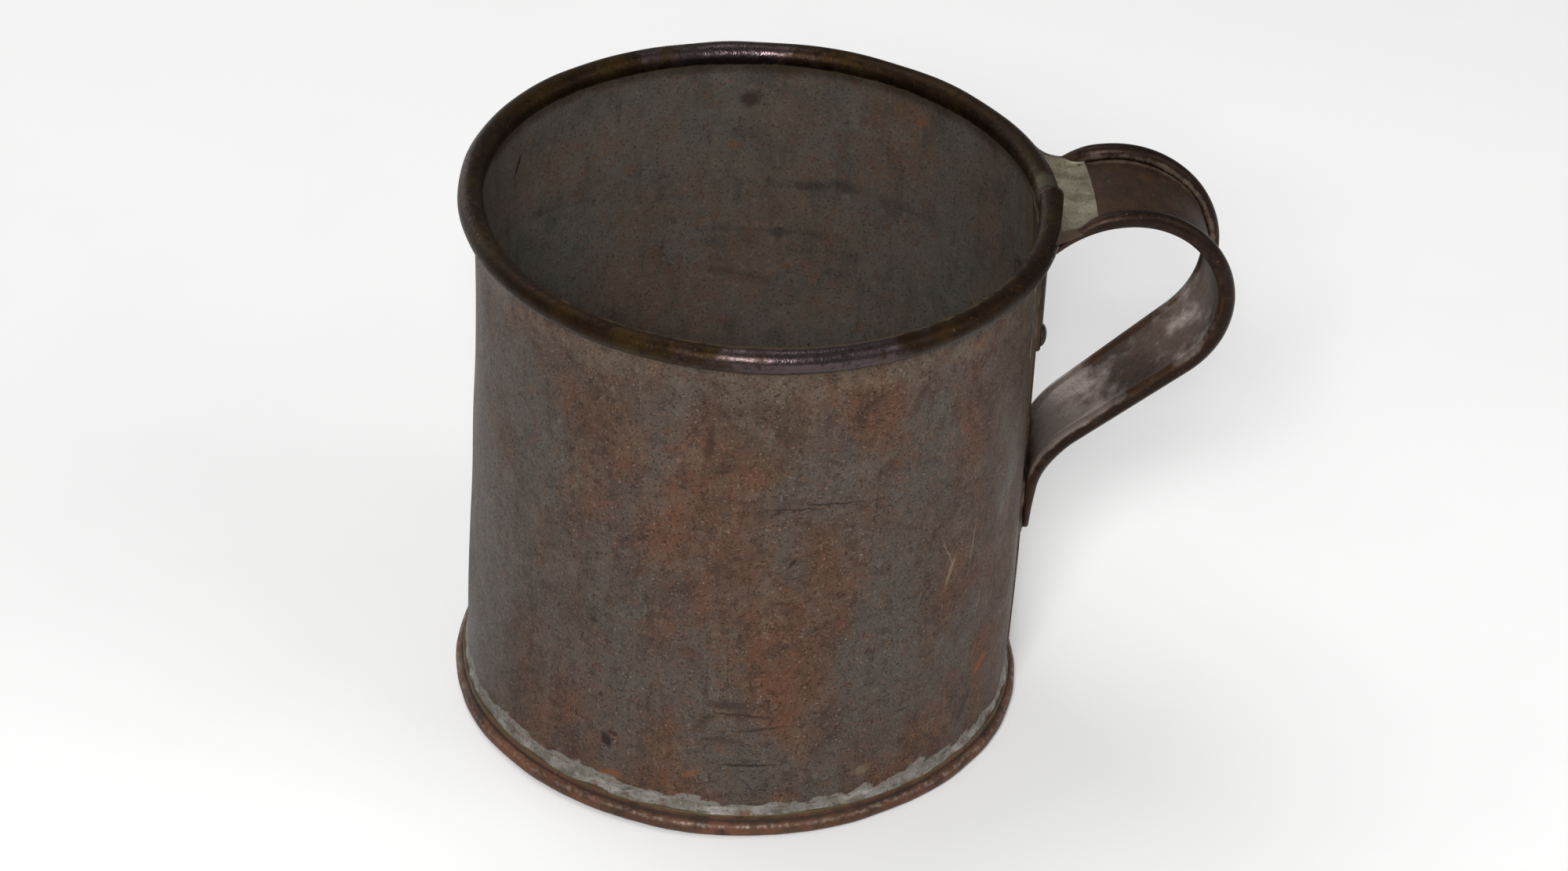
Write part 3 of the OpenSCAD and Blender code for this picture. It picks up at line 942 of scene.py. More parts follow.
# The same solder where hands and smoke have browned it until it hardly shows.
BROWNED_SOLDER = replace(
    OLD_SOLDER,
    name="browned_solder",
    base="#473c2c",
    rough=0.58,
    patches=(
        Patch("#5c5440", 4, 0.5, 0.72, 0.6, detail=5),
        Patch("#30251b", 3, 0.46, 0.7, 0.7, seed=9, detail=5, lift=-0.03),
        Patch("#221a14", 0.6, 0.58, 0.7, 0.5, seed=47, detail=2, lift=-0.01),
        Patch("#3a2c20", 2.2, 0.78, 1.1, 0.9, where="edge", gain=0.7, seed=59, detail=5, rough=0.6),
    ),
)

# The joint of the rim, black like the roll around it, with greenish solder showing.
BLACKENED_SOLDER = replace(
    BROWNED_SOLDER,
    name="blackened_solder",
    base="#2c2319",
    patches=(
        Patch("#4c4836", 2.5, 0.5, 0.7, 0.6, detail=5),
        Patch("#17110d", 1.2, 0.5, 0.66, 0.6, seed=9, detail=4, lift=-0.02),
        Patch("#2b1f16", 2.2, 0.74, 1.0, 0.9, where="edge", gain=0.7, seed=59, detail=5, rough=0.6),
    ),
)

# Greyer solder of the foot seam, streaked with rust.
FOOT_SOLDER = replace(
    OLD_SOLDER,
    name="rust_streaked_solder",
    base="#75716b",
    patches=(Patch("#96938c", 3, 0.46, 0.66, 0.8, stretch=(3, 1, 0.6), detail=5),)
    + OLD_SOLDER.patches[1:]
    + (
        Patch("#2f2923", 1.2, 0.56, 0.68, 0.7, stretch=(4, 1, 0.5), seed=79, detail=4, lift=-0.03),
        Patch("#5a3b28", 4, 0.53, 0.68, 0.85, seed=83, detail=5, rough=0.75, metal=0.05),
    ),
)

# Drawn iron wire inside the rolls, seen only at a slot: black scale.
IRON_WIRE = Finish(
    name="black_iron_wire",
    base="#201a17",
    metal=0.5,
    rough=0.5,
    specular=0.4,
    patches=(
        Patch("#38261b", 3, 0.5, 0.68, 0.7, detail=4, rough=0.7, metal=0.2),
        Patch("#171210", 1.2, 0.54, 0.7, 0.6, seed=9, detail=4),
    ),
    grain=(Grain(0.4, 0.02), Grain(1.5, 0.05)),
    glitter=0.2,
)

# Rivets of soft iron, hammered down: dark, with a rubbed crown.
RIVET_IRON = replace(
    IRON_WIRE,
    name="hammered_iron_rivet",
    base="#2e221b",
    patches=IRON_WIRE.patches
    + (Patch("#73665a", 1.0, 0.72, 0.98, 0.7, where="wear", gain=0.5, seed=21, rough=0.35, metal=0.7),),
)


# ------------------------------------------------------------------------------- parts


@dataclass(frozen=True)
class Spot:
    """A soft-edged place on the wall: its middle, its reach each way and how strong it is."""

    azimuth: float
    height: float
    wide: float
    tall: float
    amount: float = 1.0


def spread(spots: tuple[Spot, ...], azimuth: np.ndarray, z: np.ndarray, radius: float) -> np.ndarray:
    """Adds up bell-shaped spots on the unrolled wall.

    Args:
        spots: the places, with reaches in mm.
        azimuth: degrees from the handle.
        z: height, mm.
        radius: radius of the wall, mm.

    Returns:
        The sum, one value per point.
    """
    total = np.zeros(np.broadcast(azimuth, z).shape)
    for s in spots:
        arc = np.radians(turn(azimuth - s.azimuth)) * radius
        total = total + s.amount * bell(np.hypot(arc / s.wide, (z - s.height) / s.tall))
    return total


@dataclass(frozen=True)
class Trace:
    """A soft line on the unrolled wall between two places, as wide as it says in mm."""

    start: tuple[float, float]
    end: tuple[float, float]
    width: float
    amount: float = 1.0


def traces(lines: tuple[Trace, ...], azimuth: np.ndarray, z: np.ndarray, radius: float) -> np.ndarray:
    """Adds up soft lines: each falls off as a bell with the distance from its segment.

    Args:
        lines: the lines, with ends as azimuth and height.
        azimuth: degrees from the handle.
        z: height, mm.
        radius: radius of the wall, mm.

    Returns:
        The sum, one value per point.
    """
    total = np.zeros(np.broadcast(azimuth, z).shape)
    for line in lines:
        run = math.radians(line.end[0] - line.start[0]) * radius, line.end[1] - line.start[1]
        arc = np.radians(turn(azimuth - line.start[0])) * radius
        part = np.clip((arc * run[0] + (z - line.start[1]) * run[1]) / (run[0] ** 2 + run[1] ** 2), 0, 1)
        away = np.hypot(arc - part * run[0], z - line.start[1] - part * run[1])
        total = total + line.amount * bell(away / line.width)
    return total


OUT_STAIN = (
    Spot(-112, 68, 12, 16, 0.9),
    Spot(-100, 40, 12, 8, 0.7),
    Spot(-47, 12, 14, 10, 0.9),
    Spot(-95, 22, 16, 8, 0.7),
    Spot(-64, 78, 12, 14, 0.5),
    Spot(40, 60, 18, 18, 0.9),
    Spot(150, 35, 20, 14, 0.8),
)
OUT_GREY = (
    Spot(-165, 40, 14, 50, 1.2),
    Spot(-114, 30, 9, 9, 1.0),
    Spot(-140, 72, 8, 10, 0.9),
    Spot(-88, 72, 8, 6, 0.7),
    Spot(-88, 10, 16, 8, 0.6),
    Spot(-60, 40, 8, 24, 0.7),
    Spot(90, 45, 22, 30, 0.8),
)
OUT_RUST = (
    Spot(-134, 83, 4, 7, 0.4),
    Spot(-33, 22, 7, 8, 1.0),
    Spot(-46, 44, 8, 14, 0.5),
    Spot(-120, 13, 9, 6, 0.6),
    Spot(-110, 6, 6, 4, 0.7),
    Spot(-86, 7, 4, 3, 0.6),
    Spot(-70, 44, 9, 7, 0.4),
    Spot(120, 20, 14, 9, 0.8),
    Spot(60, 80, 10, 9, 0.6),
)
TIDES = (
    Trace((90, 72.9), (72, 73.0), 0.9, 1.0),
    Trace((76, 73.0), (66, 74.4), 1.2, 0.9),
    Trace((67, 74.4), (43, 72.6), 1.3, 0.8),
    Trace((62, 70.0), (50, 68.5), 1.6, 0.5),
    Trace((98, 63.2), (80, 62.6), 0.9, 1.0),
    Trace((80, 62.6), (65, 63.0), 1.1, 1.0),
    Trace((78, 59.6), (62, 60.2), 1.0, 0.7),
    Trace((156, 78.6), (138, 76.0), 1.0, 0.9),
    Trace((138, 76.0), (122, 73.9), 1.0, 0.8),
    Trace((124, 77.8), (103, 74.8), 0.9, 0.8),
    Trace((160, 72.0), (132, 66.0), 1.1, 0.5),
    Trace((94, 54.2), (81, 51.8), 1.4, 1.0),
    Trace((70, 55.0), (54, 56.5), 1.5, 0.5),
    Trace((128, 58.0), (104, 54.0), 1.6, 0.5),
    Trace((30, 71.0), (8, 70.0), 1.2, 0.5),
    Trace((-170, 70.0), (-20, 66.0), 1.2, 0.5),
)
IN_STAIN = (
    Spot(60, 80, 14, 14, 1.0),
    Spot(100, 62, 22, 10, 0.5),
    Spot(125, 84, 14, 7, 0.8),
    Spot(90, 48, 30, 9, 0.7),
)
IN_RUST = (Spot(51, 93, 6, 6, 0.5), Spot(90, 95, 18, 3, 0.5), Spot(75, 55, 12, 8, 0.4))


@dataclass(frozen=True)
class Cup:
    """Sizes of the cup, and how its hand-rolled wall strays from a true cylinder.

    Args:
        outer: radius of the wall's outside.
        inner: radius of its inside.
        bead_x: radius of the rolled rim's centre line.
        bead_z: height of that line.
        bead_r: radius of the roll.
        wire_r: radius of the wire in the roll.
        floor_z: height of the floor inside.
        flange_z: height of the underside of the wall's flange.
        sheet: thickness of the wall.
        fold_x: radius of the foot bead's centre line.
        fold_r: radius of the foot bead.
        collar_z: height of the edge that stands up against the wall.
        lap_half: half the angle over which the sheet's ends overlap.
        step: angle of the slope beside the overlap.
        lap_low: height at which the overlap's outer layer begins.
        lap_high: height at which it ends under the rim.
        box_half: half the width of the cup.
        dent: depth of the flat and height of the bulge behind it.
        shift: how far the foot stands away from the handle.
        margin: how far everything keeps inside the cup's square outline.
    """

    outer: float = WALL_OUTER
    inner: float = WALL_INNER
    bead_x: float = 49.80
    bead_z: float = 98.80
    bead_r: float = 2.2
    wire_r: float = 1.65
    floor_z: float = 0.70
    flange_z: float = 1.20
    sheet: float = 0.50
    fold_x: float = 49.30
    fold_r: float = 1.45
    collar_z: float = 4.2
    lap_half: float = 4.11
    step: float = 0.59
    lap_low: float = 6.95
    lap_high: float = 91.94
    box_half: float = 52.0
    dent: float = 0.55
    shift: float = 0.5
    margin: float = 0.05

    def stray(self, azimuth: np.ndarray, z: np.ndarray) -> np.ndarray:
        """How far the wall stands off its true radius.

        A flat on the left and a bulge behind it, both growing to the rim, plus the
        foot set half a millimetre away from the handle, plus shallow waves; all fade
        out beside the handle, and nothing passes the cup's square outline.

        Args:
            azimuth: degrees from the handle.
            z: height, mm.

        Returns:
            The offset in mm.
        """
        a, h = np.broadcast_arrays(turn(azimuth), np.asarray(z, float))
        clear = smooth((np.abs(a) - 22) / 22)
        high = smooth((h - 30) / 75)
        flat = -self.dent * bell(turn(a - 180) / 26) * high
        bulge = self.dent * bell(turn(a - 137) / 24) * high
        place = polar(self.outer, a, h)
        dents = 0.13 * waves(place, 20, 5) + 0.05 * waves(place, 9, 6) - 0.1
        foot = -self.shift * np.cos(np.radians(a)) * (1 - smooth(h / 30))
        cos, sin = np.abs(np.cos(np.radians(a))), np.abs(np.sin(np.radians(a)))
        room = self.box_half / np.maximum(cos, sin) - self.box_half
        at_rim = smooth((h - 90) / 8)
        off = clear * (flat + bulge + dents * (1 - 0.6 * at_rim)) + foot
        return np.minimum(off, room + 1.1 * (1 - at_rim) - self.margin)

    def lap(self, azimuth: np.ndarray, z: np.ndarray) -> np.ndarray:
        """How far the outer layer of the lap lifts the wall's outside, in mm."""
        a = turn(azimuth)
        run = smooth((z - self.lap_low + 0.4) / 0.8) * (1 - smooth((z - self.lap_high + 0.4) / 0.8))
        rise = smooth((a + self.lap_half + 2 * self.step) / (1.2 * self.step))
        return 0.55 * run * rise * (a <= self.lap_half)

    def outside(self, azimuth: np.ndarray, z: np.ndarray) -> np.ndarray:
        """Radius of the wall's outside, lap included."""
        return self.outer + self.stray(azimuth, z) + self.lap(azimuth, z)

    def azimuths(self, count: int) -> np.ndarray:
        """Even azimuths with extra ones at the edges of the lap.

        Args:
            count: how many even ones there are.

        Returns:
            Sorted azimuths from 0 up to 360.
        """
        edge, back = self.lap_half, self.lap_half + self.step
        extra = [0.12, 0.3, 0.6, -0.02, -0.12, -0.3, -0.6]
        extra += [edge - 0.01, edge + 0.01, edge + 0.3, -edge, -edge + 0.05]
        extra += [-back, -back - 0.05, -back - 0.3, -back - 0.6]
        return np.unique(np.concatenate([np.arange(count) * 360 / count, np.array(extra) % 360]).round(4))


@dataclass
class Wall:
    """The cup's one sheet: flange, wall, lap, rolled rim and inner face.

    Args:
        cup: the cup.
        count: even columns round the cup.
        rows_out: rows up the outside.
        rows_bead: rows round the rim's roll.
        rows_in: rows down the inside.
        proud: how far one end of the roll stands over the other at the joint, mm.
        proud_run: degrees over which that fades.
        uneven: share of the roll's radius by which the hammer left it uneven.
        node: the CAD node it stands for.
    """

    cup: Cup
    count: int = 350
    rows_out: int = 100
    rows_bead: int = 44
    rows_in: int = 98
    proud: float = 0.6
    proud_run: float = 3.6
    uneven: float = 0.018
    node: str = "body_sheet"

    def outline(self) -> tuple[np.ndarray, np.ndarray, np.ndarray]:
        """The sheet's section as a closed line of radius and height.

        Up the outside, into the crease where the roll's edge meets the wall, round the
        bead, down an S curve to the inner face, and under the flange.

        Returns:
            The points in mm, the material slot of each span, and 1 where the point is
            on the outside, -1 inside, 0 on the bead.
        """
        c = self.cup
        toe = [(49.55, c.flange_z + c.sheet), (49.2, 1.72), (48.92, 1.8), (48.77, 2.05)]
        rise = [(c.outer, z) for z in np.linspace(2.4, 96.55, self.rows_out)]
        crease = [(48.76, 96.9), (48.85, 97.16), (49.1, 97.26), (49.36, 97.16), (49.40, 96.9)]
        ring = np.radians(np.linspace(-100.5, 200, self.rows_bead))
        bead = [(c.bead_x + c.bead_r * math.cos(t), c.bead_z + c.bead_r * math.sin(t)) for t in ring]
        t = np.linspace(0, 1, 9)[1:]
        start, end = np.array(bead[-1]), np.array([c.inner, 95.2])
        pull, settle = 3.0 * np.array([0.342, -0.94]), 3.0 * np.array([0.0, -1.0])
        curve = (
            np.outer(2 * t**3 - 3 * t**2 + 1, start)
            + np.outer(t**3 - 2 * t**2 + t, pull)
            + np.outer(-2 * t**3 + 3 * t**2, end)
            + np.outer(t**3 - t**2, settle)
        )
        fall = [(c.inner, z) for z in np.linspace(94.5, c.flange_z + 0.15, self.rows_in)]
        under = [(c.inner + 0.1, c.flange_z), (48.9, c.flange_z), (49.55, c.flange_z)]
        parts = [toe, rise, crease, bead, curve.tolist(), fall, under]
        slot = [0, 0, 0, 1, 2, 2, 2]
        side = [1, 1, 0, 0, -1, -1, -1]
        points = np.array([p for part in parts for p in part])
        sizes = [len(p) for p in parts]
        return points, np.repeat(slot, sizes), np.repeat(side, sizes)

    def build(self) -> bpy.types.Object:
        """Turns the section round the axis, strays it, and dresses it.

        Returns:
            The piece.
        """
        c = self.cup
        line, slots, side = self.outline()
        az = c.azimuths(self.count)
        r, z, s = line[:, :1], line[:, 1:], side[:, None]
        bead_row = (slots == 1)[:, None] & (s == 0)
        wobble = 1 + self.uneven * waves(polar(c.bead_x, az, c.bead_z), 7, 3) - 0.02
        r = np.where(bead_row, c.bead_x + (r - c.bead_x) * wobble, r)
        z = np.where(bead_row, c.bead_z + (z - c.bead_z) * wobble, z) + 0 * az
        a = turn(az)
        proud = self.proud * np.exp(-np.abs(a) / self.proud_run) * (a < 0) * bead_row
        z = z + proud
        groove = 0.3 * ((a < -c.lap_half) & (a > -c.lap_half - c.step))
        groove = groove * (z > c.lap_low) * (z < c.lap_high) * (s < 0)
        radius = r + c.stray(az, np.minimum(z, c.bead_z)) + np.where(s > 0, c.lap(az, z), 0)
        radius = radius + groove + 0.6 * proud
        points = polar(radius, az, z)
        turns = np.radians(np.append(az, 360.0))
        height = np.append(line[:, 1], line[0, 1])
        flat = np.broadcast_arrays(c.outer * MM * turns[None, :], MM * height[:, None])
        uv = np.stack(flat, axis=-1)
        # the half of the section that runs down inside is unrolled at its own radius
        uv[len(line) // 2 :, :, 0] *= c.inner / c.outer
        masks = self.masks(az, z, s, points, bead_row)
        finishes = [OUTSIDE_TIN.build(), RIM_TIN.build(), INSIDE_TIN.build()]
        surface = Surface(points, ring=True, uv=uv, masks=masks, slots=slots)
        return make_piece("wall_and_rolled_rim", [surface], finishes, 40)

    def masks(
        self, az: np.ndarray, z: np.ndarray, s: np.ndarray, points: np.ndarray, bead: np.ndarray
    ) -> dict[str, np.ndarray]:
        """Where the sheet is stained, grey, rusty, soldered or worn at the lip, where it carries dirt and
        painted shade, and where the bead carries a painted highlight.

        Args:
            az: azimuths of the columns.
            z: heights of the points.
            s: 1 outside, -1 inside, 0 on the bead.
            points: the points.
            bead: true on the bead.

        Returns:
            The named masks.
        """
        c = self.cup
        out, inn = s > 0, s < 0
        uneven = waves(points, 5, 8)
        fine = waves(points, 1.6, 9)
        stain = np.where(out, spread(OUT_STAIN, az, z, c.outer), spread(IN_STAIN, az, z, c.inner))
        grey = np.where(out, spread(OUT_GREY, az, z, c.outer), 0)
        rust = np.where(out, spread(OUT_RUST, az, z, c.outer), spread(IN_RUST, az, z, c.inner))
        a = turn(az)
        # solder smeared up the wall over the foot seam, most of it at the front left
        reach = 6.3 + 0.5 * uneven + 0.35 * fine + 0.7 * bell(turn(a + 125) / 20)
        foot = 1 - smooth((z - reach) / 0.9)
        tab = bell((np.abs(a) - 17.5) / 2.4) * smooth((z - 74) / 3)
        under = bell((np.abs(a) / 13) ** 2) * bell((z - 37) / 8)
        joint = (1 - smooth((np.abs(a) - 2 - 0.55 * (z - 78)) / 5)) * smooth((z - 77) / 5)
        solder = np.where(out, np.maximum(np.maximum(foot, 0.8 * tab), 0.7 * under), np.where(inn, joint, 0))
        solder = np.where(bead, np.where(a > 0, 1 - smooth((a - 2) / 13), bell(a / 1.2)), solder)
        # painted shade: darker in the inside corner by the floor and in a line on the outside just under the
        # rim's crease; on the bead it is the dark line of the joint
        corner = np.where(inn, 1 - smooth((z - 1) / 5), 0)
        crease = np.where(out, bell((z - 96.6) / 0.7), 0)
        near = bell(turn(a + 85) / 60)
        lean = smooth((50.15 - np.hypot(points[..., 0], points[..., 1])) / 1.0)
        lip = np.where(bead, lean * (0.3 + 0.7 * near), 0)
        ledge = np.where(inn, smooth((z - 93.5) / 3.5) * (1 - 0.4 * near), 0)
        tide = np.where(inn, traces(TIDES, az, z, c.inner), 0)
        dust = np.where(out, smooth((z - 84) / 9), 0)
        # painted highlight: a band on the bead's front and on top of its back, where the lamps reflect; it
        # also makes the bead glossier there
        gloss_and_highlight = bell(turn(a + 85) / 28) + 0.85 * bell(turn(a - 94) / 22)
        masks = {
            "stain": stain,
            "grey": grey,
            "rust": rust,
            "solder": solder,
            "grime": np.maximum(np.maximum(corner, crease), np.where(bead, bell(a / 0.35), 0)),
            "lip": np.maximum(lip, ledge),
            "front": np.where(bead, gloss_and_highlight, 0),
            "tide": tide,
            "dust": dust,
        }
        return {name: mask + 0 * stain for name, mask in masks.items()}


@dataclass
class RimWire:
    """The wire hidden in the rolled rim, as a ring of columns with so many sides."""

    cup: Cup
    count: int = 240
    sides: int = 16
    node: str = "rim_wire"

    def build(self) -> bpy.types.Object:
        """A ring whose section is a circle, following the wall's stray at the rim.

        Returns:
            The piece.
        """
        c = self.cup
        az = np.arange(self.count) * 360 / self.count
        t = np.radians(np.arange(self.sides) * 360 / self.sides)[:, None]
        radius = c.bead_x + c.wire_r * np.cos(t) + c.stray(az, np.full_like(az, c.bead_z))
        points = polar(radius, az, c.bead_z + c.wire_r * np.sin(t))
        return make_piece("rim_wire_ring", [Surface(points, ring=True)], [IRON_WIRE.build()], 60)


# The bottom's section as radius and height in mm: the corner from the floor to the lip
# that is folded over the flange, and the collar that stands up against the wall.
CORNER = (
    *((48.3, 0.71), (49.0, 0.74), (49.6, 0.86), (49.92, 1.15)),
    *((49.98, 1.45), (49.86, 1.8), (49.5, 2.12)),
)
COLLAR = (
    *((49.1, 2.2), (48.84, 2.24), (48.82, 2.6), (48.82, 3.4), (48.84, 4.0)),
    *((48.92, 4.17), (49.1, 4.22), (49.3, 4.2), (49.44, 4.1), (49.5, 3.92)),
    *((49.5, 3.6), (49.49, 3.3), (49.5, 3.05), (49.6, 2.9)),
)


@dataclass
class Bottom:
    """The bottom disc with its edge folded up and over the wall's flange."""

    cup: Cup
    count: int = 440
    node: str = "bottom_disc"

    def build(self) -> bpy.types.Object:
        """Turns the disc's section: floor, corner, lip of the fold, bead and underside.

        Returns:
            The piece.
        """
        c = self.cup
        floor = [(r, c.floor_z) for r in np.linspace(0, 47.6, 40)]
        ring = np.radians(np.linspace(70, -90, 24))
        bead = [(c.fold_x + c.fold_r * math.cos(t), c.fold_r + c.fold_r * math.sin(t)) for t in ring]
        under = [(r, 0.0) for r in (48.5, 46, 42, 36, 28, 18, 8, 0)]
        sections = [floor, CORNER, COLLAR, bead, under]
        line = np.array([p for part in sections for p in part])
        sizes = [len(p) for p in sections]
        slots = np.repeat([1, 1, 0, 0, 0], sizes)
        worn = np.repeat([0.0, 0.0, 0.4, 1.0, 0.0], sizes)[:, None]
        az = c.azimuths(self.count)
        r, z = line[:, :1], line[:, 1:] + 0 * az
        edge = smooth((r - 48.6) / 0.8)
        uneven = waves(polar(50.0, az, 1.0), 3.2, 12)
        slow = waves(polar(50.0, az, 1.0), 11, 13)
        radius = r + smooth(r / 48) * c.stray(az, z) + edge * (0.03 * uneven + 0.08 * slow - 0.06)
        z = z + edge * np.where(z > 1.5, 0.05 * uneven + 0.07 * slow, 0)
        warp = 0.12 * waves(polar(r, az, z), 17, 14)
        z = z + (1 - smooth((r - 30) / 16)) * np.where(z > 0.5, warp, 0) * (z > 0.5)
        points = polar(radius, az, np.maximum(z, 0.0))
        points[0, :, 2] = points[0, 0, 2]
        level = points[..., 2]
        worn = worn * np.maximum(bell((level - 2.35) / 0.55), bell((level - 4.15) / 0.3)) + 0 * az
        on_collar = np.repeat([0.0, 0.0, 1.0, 0.0, 0.0], sizes)[:, None]
        # painted shade: darker on the floor towards the wall, and in the crevice between the collar and the
        # foot bead
        crevice = bell((line[:, 1:] - 3.02) / 0.26) * (r > 49.3)
        grime = np.where(slots[:, None] == 1, smooth((r - 38) / 9), crevice) + 0 * az
        inside = spread((Spot(90, 1, 60, 99, 0.5),), az, z, 30.0)
        patina = on_collar * bell((level - 4.1) / 0.5) + 0 * az
        masks = {"wear": worn, "grime": grime, "stain": inside, "patina": patina}
        surface = Surface(points, ends=Ends.POLES, masks=masks, slots=slots, uv=self.flat_uv(line, az))
        plain = replace(INSIDE_TIN, name="worn_tinplate_floor", marks=())
        return make_piece("bottom_disc_and_fold", [surface], [FOOT_TIN.build(), plain.build()], 50)

    def flat_uv(self, line: np.ndarray, az: np.ndarray) -> np.ndarray:
        """Arc length round the fold and distance along the section, in metres.

        Args:
            line: the section's points.
            az: azimuths of the columns.

        Returns:
            The uv grid.
        """
        along = np.concatenate([[0.0], np.cumsum(np.hypot(*np.diff(line, axis=0).T))])
        turns = np.radians(np.append(az, 360.0)) * self.cup.fold_x
        return np.stack(np.broadcast_arrays(turns[None, :] * MM, along[:, None] * MM), axis=-1)


def wall_pad(
    cup: Cup,
    az: np.ndarray,
    z: np.ndarray,
    height: np.ndarray,
    root: float,
    edge: np.ndarray,
    inward: bool = False,
) -> Surface:
    """A slab of solder on the wall, as high as it says over the wall's face.

    Args:
        cup: the cup.
        az: azimuths, rows by columns.
        z: heights, rows by columns.
        height: thickness over the wall, mm; where it is negative the slab is sunk.
        root: how deep the hidden side lies under the wall's face, mm.
        edge: 1 near the slab's rim, 0 inside.
        inward: true for a slab on the inside of the wall.

    Returns:
        The surface.
    """
    base = cup.inner + cup.stray(az, z) if inward else cup.outside(az, z)
    sign = -1.0 if inward else 1.0
    top = polar(base + sign * height, az, z)
    bottom = polar(base - sign * root + 0 * height, az, z)
    mask = np.concatenate([edge, edge[:, ::-1]], axis=1)
    return shell(top, bottom, masks={"edge": mask})


@dataclass
class FootSolder:
    """Ragged line of solder over the foot seam.

    Args:
        cup: the cup.
        count: even columns round the cup.
        tall: its usual height, mm.
        tall_span: least and most height, mm.
        deep: its usual depth at the collar, mm.
        deep_span: least and most depth, mm.
        skin: depth of the smear at its top, mm.
        node: the CAD node it stands for.
    """

    cup: Cup
    count: int = 620
    tall: float = 1.75
    tall_span: tuple[float, float] = (0.4, 2.6)
    deep: float = 0.5
    deep_span: tuple[float, float] = (0.2, 0.72)
    skin: float = 0.11
    node: str = "foot_seam_solder"

    def build(self) -> bpy.types.Object:
        """A ring whose section is a concave fillet of changing height and depth.

        Returns:
            The piece.
        """
        c = self.cup
        az = c.azimuths(self.count)
        place = polar(49.0, az, 3.0)
        tall = self.tall + 0.25 * waves(place, 6, 21) + 0.2 * waves(place, 2.2, 22)
        tall = np.clip(tall + 0.4 * bell(turn(az + 125) / 20), *self.tall_span)
        deep = self.deep + 0.1 * waves(place, 8, 23) + 0.08 * waves(place, 2.5, 24)
        deep = np.clip(deep, *self.deep_span)
        t = np.linspace(0, 1, 9)[:, None]
        face_z = c.collar_z - 0.03 + tall * t
        curve = deep * (1 - t) ** 1.7 + self.skin * (1 - t**6) - 0.06
        lumps = 0.05 * waves(polar(49.0, az, face_z), 1.3, 25) * t * (1 - t) * 4
        outer = c.outer + c.stray(az, face_z) + curve + lumps + 0.4 * c.lap(az, face_z)
        inner_z = face_z[::-1]
        inner = c.outer - 0.2 + c.stray(az, inner_z)
        points = np.concatenate([polar(outer, az, face_z), polar(inner, az, inner_z)])
        rim = smooth((t - 0.72) / 0.28) * 0.75 + 0.5 * bell(t / 0.1)
        edge = np.concatenate([rim, rim[::-1]]) + 0 * az
        band = Surface(points, ring=True, masks={"edge": edge})
        return make_piece("foot_seam_solder_line", [band], [FOOT_SOLDER.build()], 60)


@dataclass
class SideSolder:
    """Thin fillet of solder along the lap's free edge.

    Args:
        cup: the cup.
        low: height at which it begins, mm.
        high: height at which it ends, mm.
        wide: how many degrees it spreads.
        deep: its thickness at the lap's edge, mm.
        node: the CAD node it stands for.
    """

    cup: Cup
    low: float = 5.6
    high: float = 91.5
    wide: float = 1.0
    deep: float = 0.42
    node: str = "side_seam_solder"

    def build(self) -> bpy.types.Object:
        """A slab from the lap's edge outward: its height falls as a power of distance.

        Returns:
            The piece.
        """
        c = self.cup
        z = np.linspace(self.low, self.high, 220)[:, None]
        t = np.linspace(0, 1, 8)[None, :]
        reach = self.wide + 0.12 * waves(polar(49.0, 4.5, z), 5, 31)
        az = c.lap_half + 0.02 + reach * t
        place = polar(49.0, az, z)
        height = self.deep * (1 - t) ** 1.6 - 0.05 * t + 0.035 * waves(place, 3, 32) * (1 - t) + 0.02
        edge = smooth((t - 0.6) / 0.4) + 0 * z
        pad = wall_pad(c, az, z + 0 * az, height, 0.25, edge)
        return make_piece("side_seam_solder_fillet", [pad], [BROWNED_SOLDER.build()], 60)


@dataclass
class RimSolder:
    """Solder over the joint of the rolled rim.

    Args:
        cup: the cup.
        start: angle round the roll at which it begins, degrees.
        stop: angle at which it ends inside, degrees.
        half: half its width, degrees round the cup.
        most: greatest thickness over the roll, mm.
        sunk: how far its hidden side lies under the roll's face, mm.
        node: the CAD node it stands for.
    """

    cup: Cup
    start: float = 15
    stop: float = 212
    half: float = 2.4
    most: float = 0.19
    sunk: float = 0.3
    node: str = "rim_seam_solder"

    def build(self) -> bpy.types.Object:
        """A saddle on the bead: radius from the wire plus a bell-shaped skin.

        Returns:
            The piece.
        """
        c = self.cup
        tube = np.linspace(self.start, self.stop, 40)[:, None]
        az = np.linspace(-self.half, self.half, 28)[None, :]
        u = (tube - (self.start + self.stop) / 2) / ((self.stop - self.start) / 2)
        place = polar(c.bead_x, az, c.bead_z + 2 * np.sin(np.radians(tube)))
        skin = (0.1 + 0.2 * smooth((tube - 70) / 60)) * bell(az / 1.35) * (1 - u**8) - 0.06
        skin = skin + 0.05 * waves(place, 1.1, 41) * bell(az / 1.5)
        # the joint itself shows as a fine groove that wanders across the skin
        skin = skin - 0.16 * bell((az - 0.25 + 0.3 * np.sin(3 * u)) / 0.16)
        limit = np.minimum(skin, self.most)

        def ring(off: np.ndarray) -> np.ndarray:
            """Points of the bead's surface pushed out by off."""
            r = c.bead_r + off
            return polar(c.bead_x + r * np.cos(np.radians(tube)), az, c.bead_z + r * np.sin(np.radians(tube)))

        edge = smooth((np.abs(az) - 1.3) / 1.1) + 0 * tube
        mask = np.concatenate([edge, edge[:, ::-1]], axis=1)
        surface = shell(ring(limit), ring(np.full_like(limit, -self.sunk)), masks={"edge": mask})
        return make_piece("rim_joint_solder", [surface], [BLACKENED_SOLDER.build()], 60)


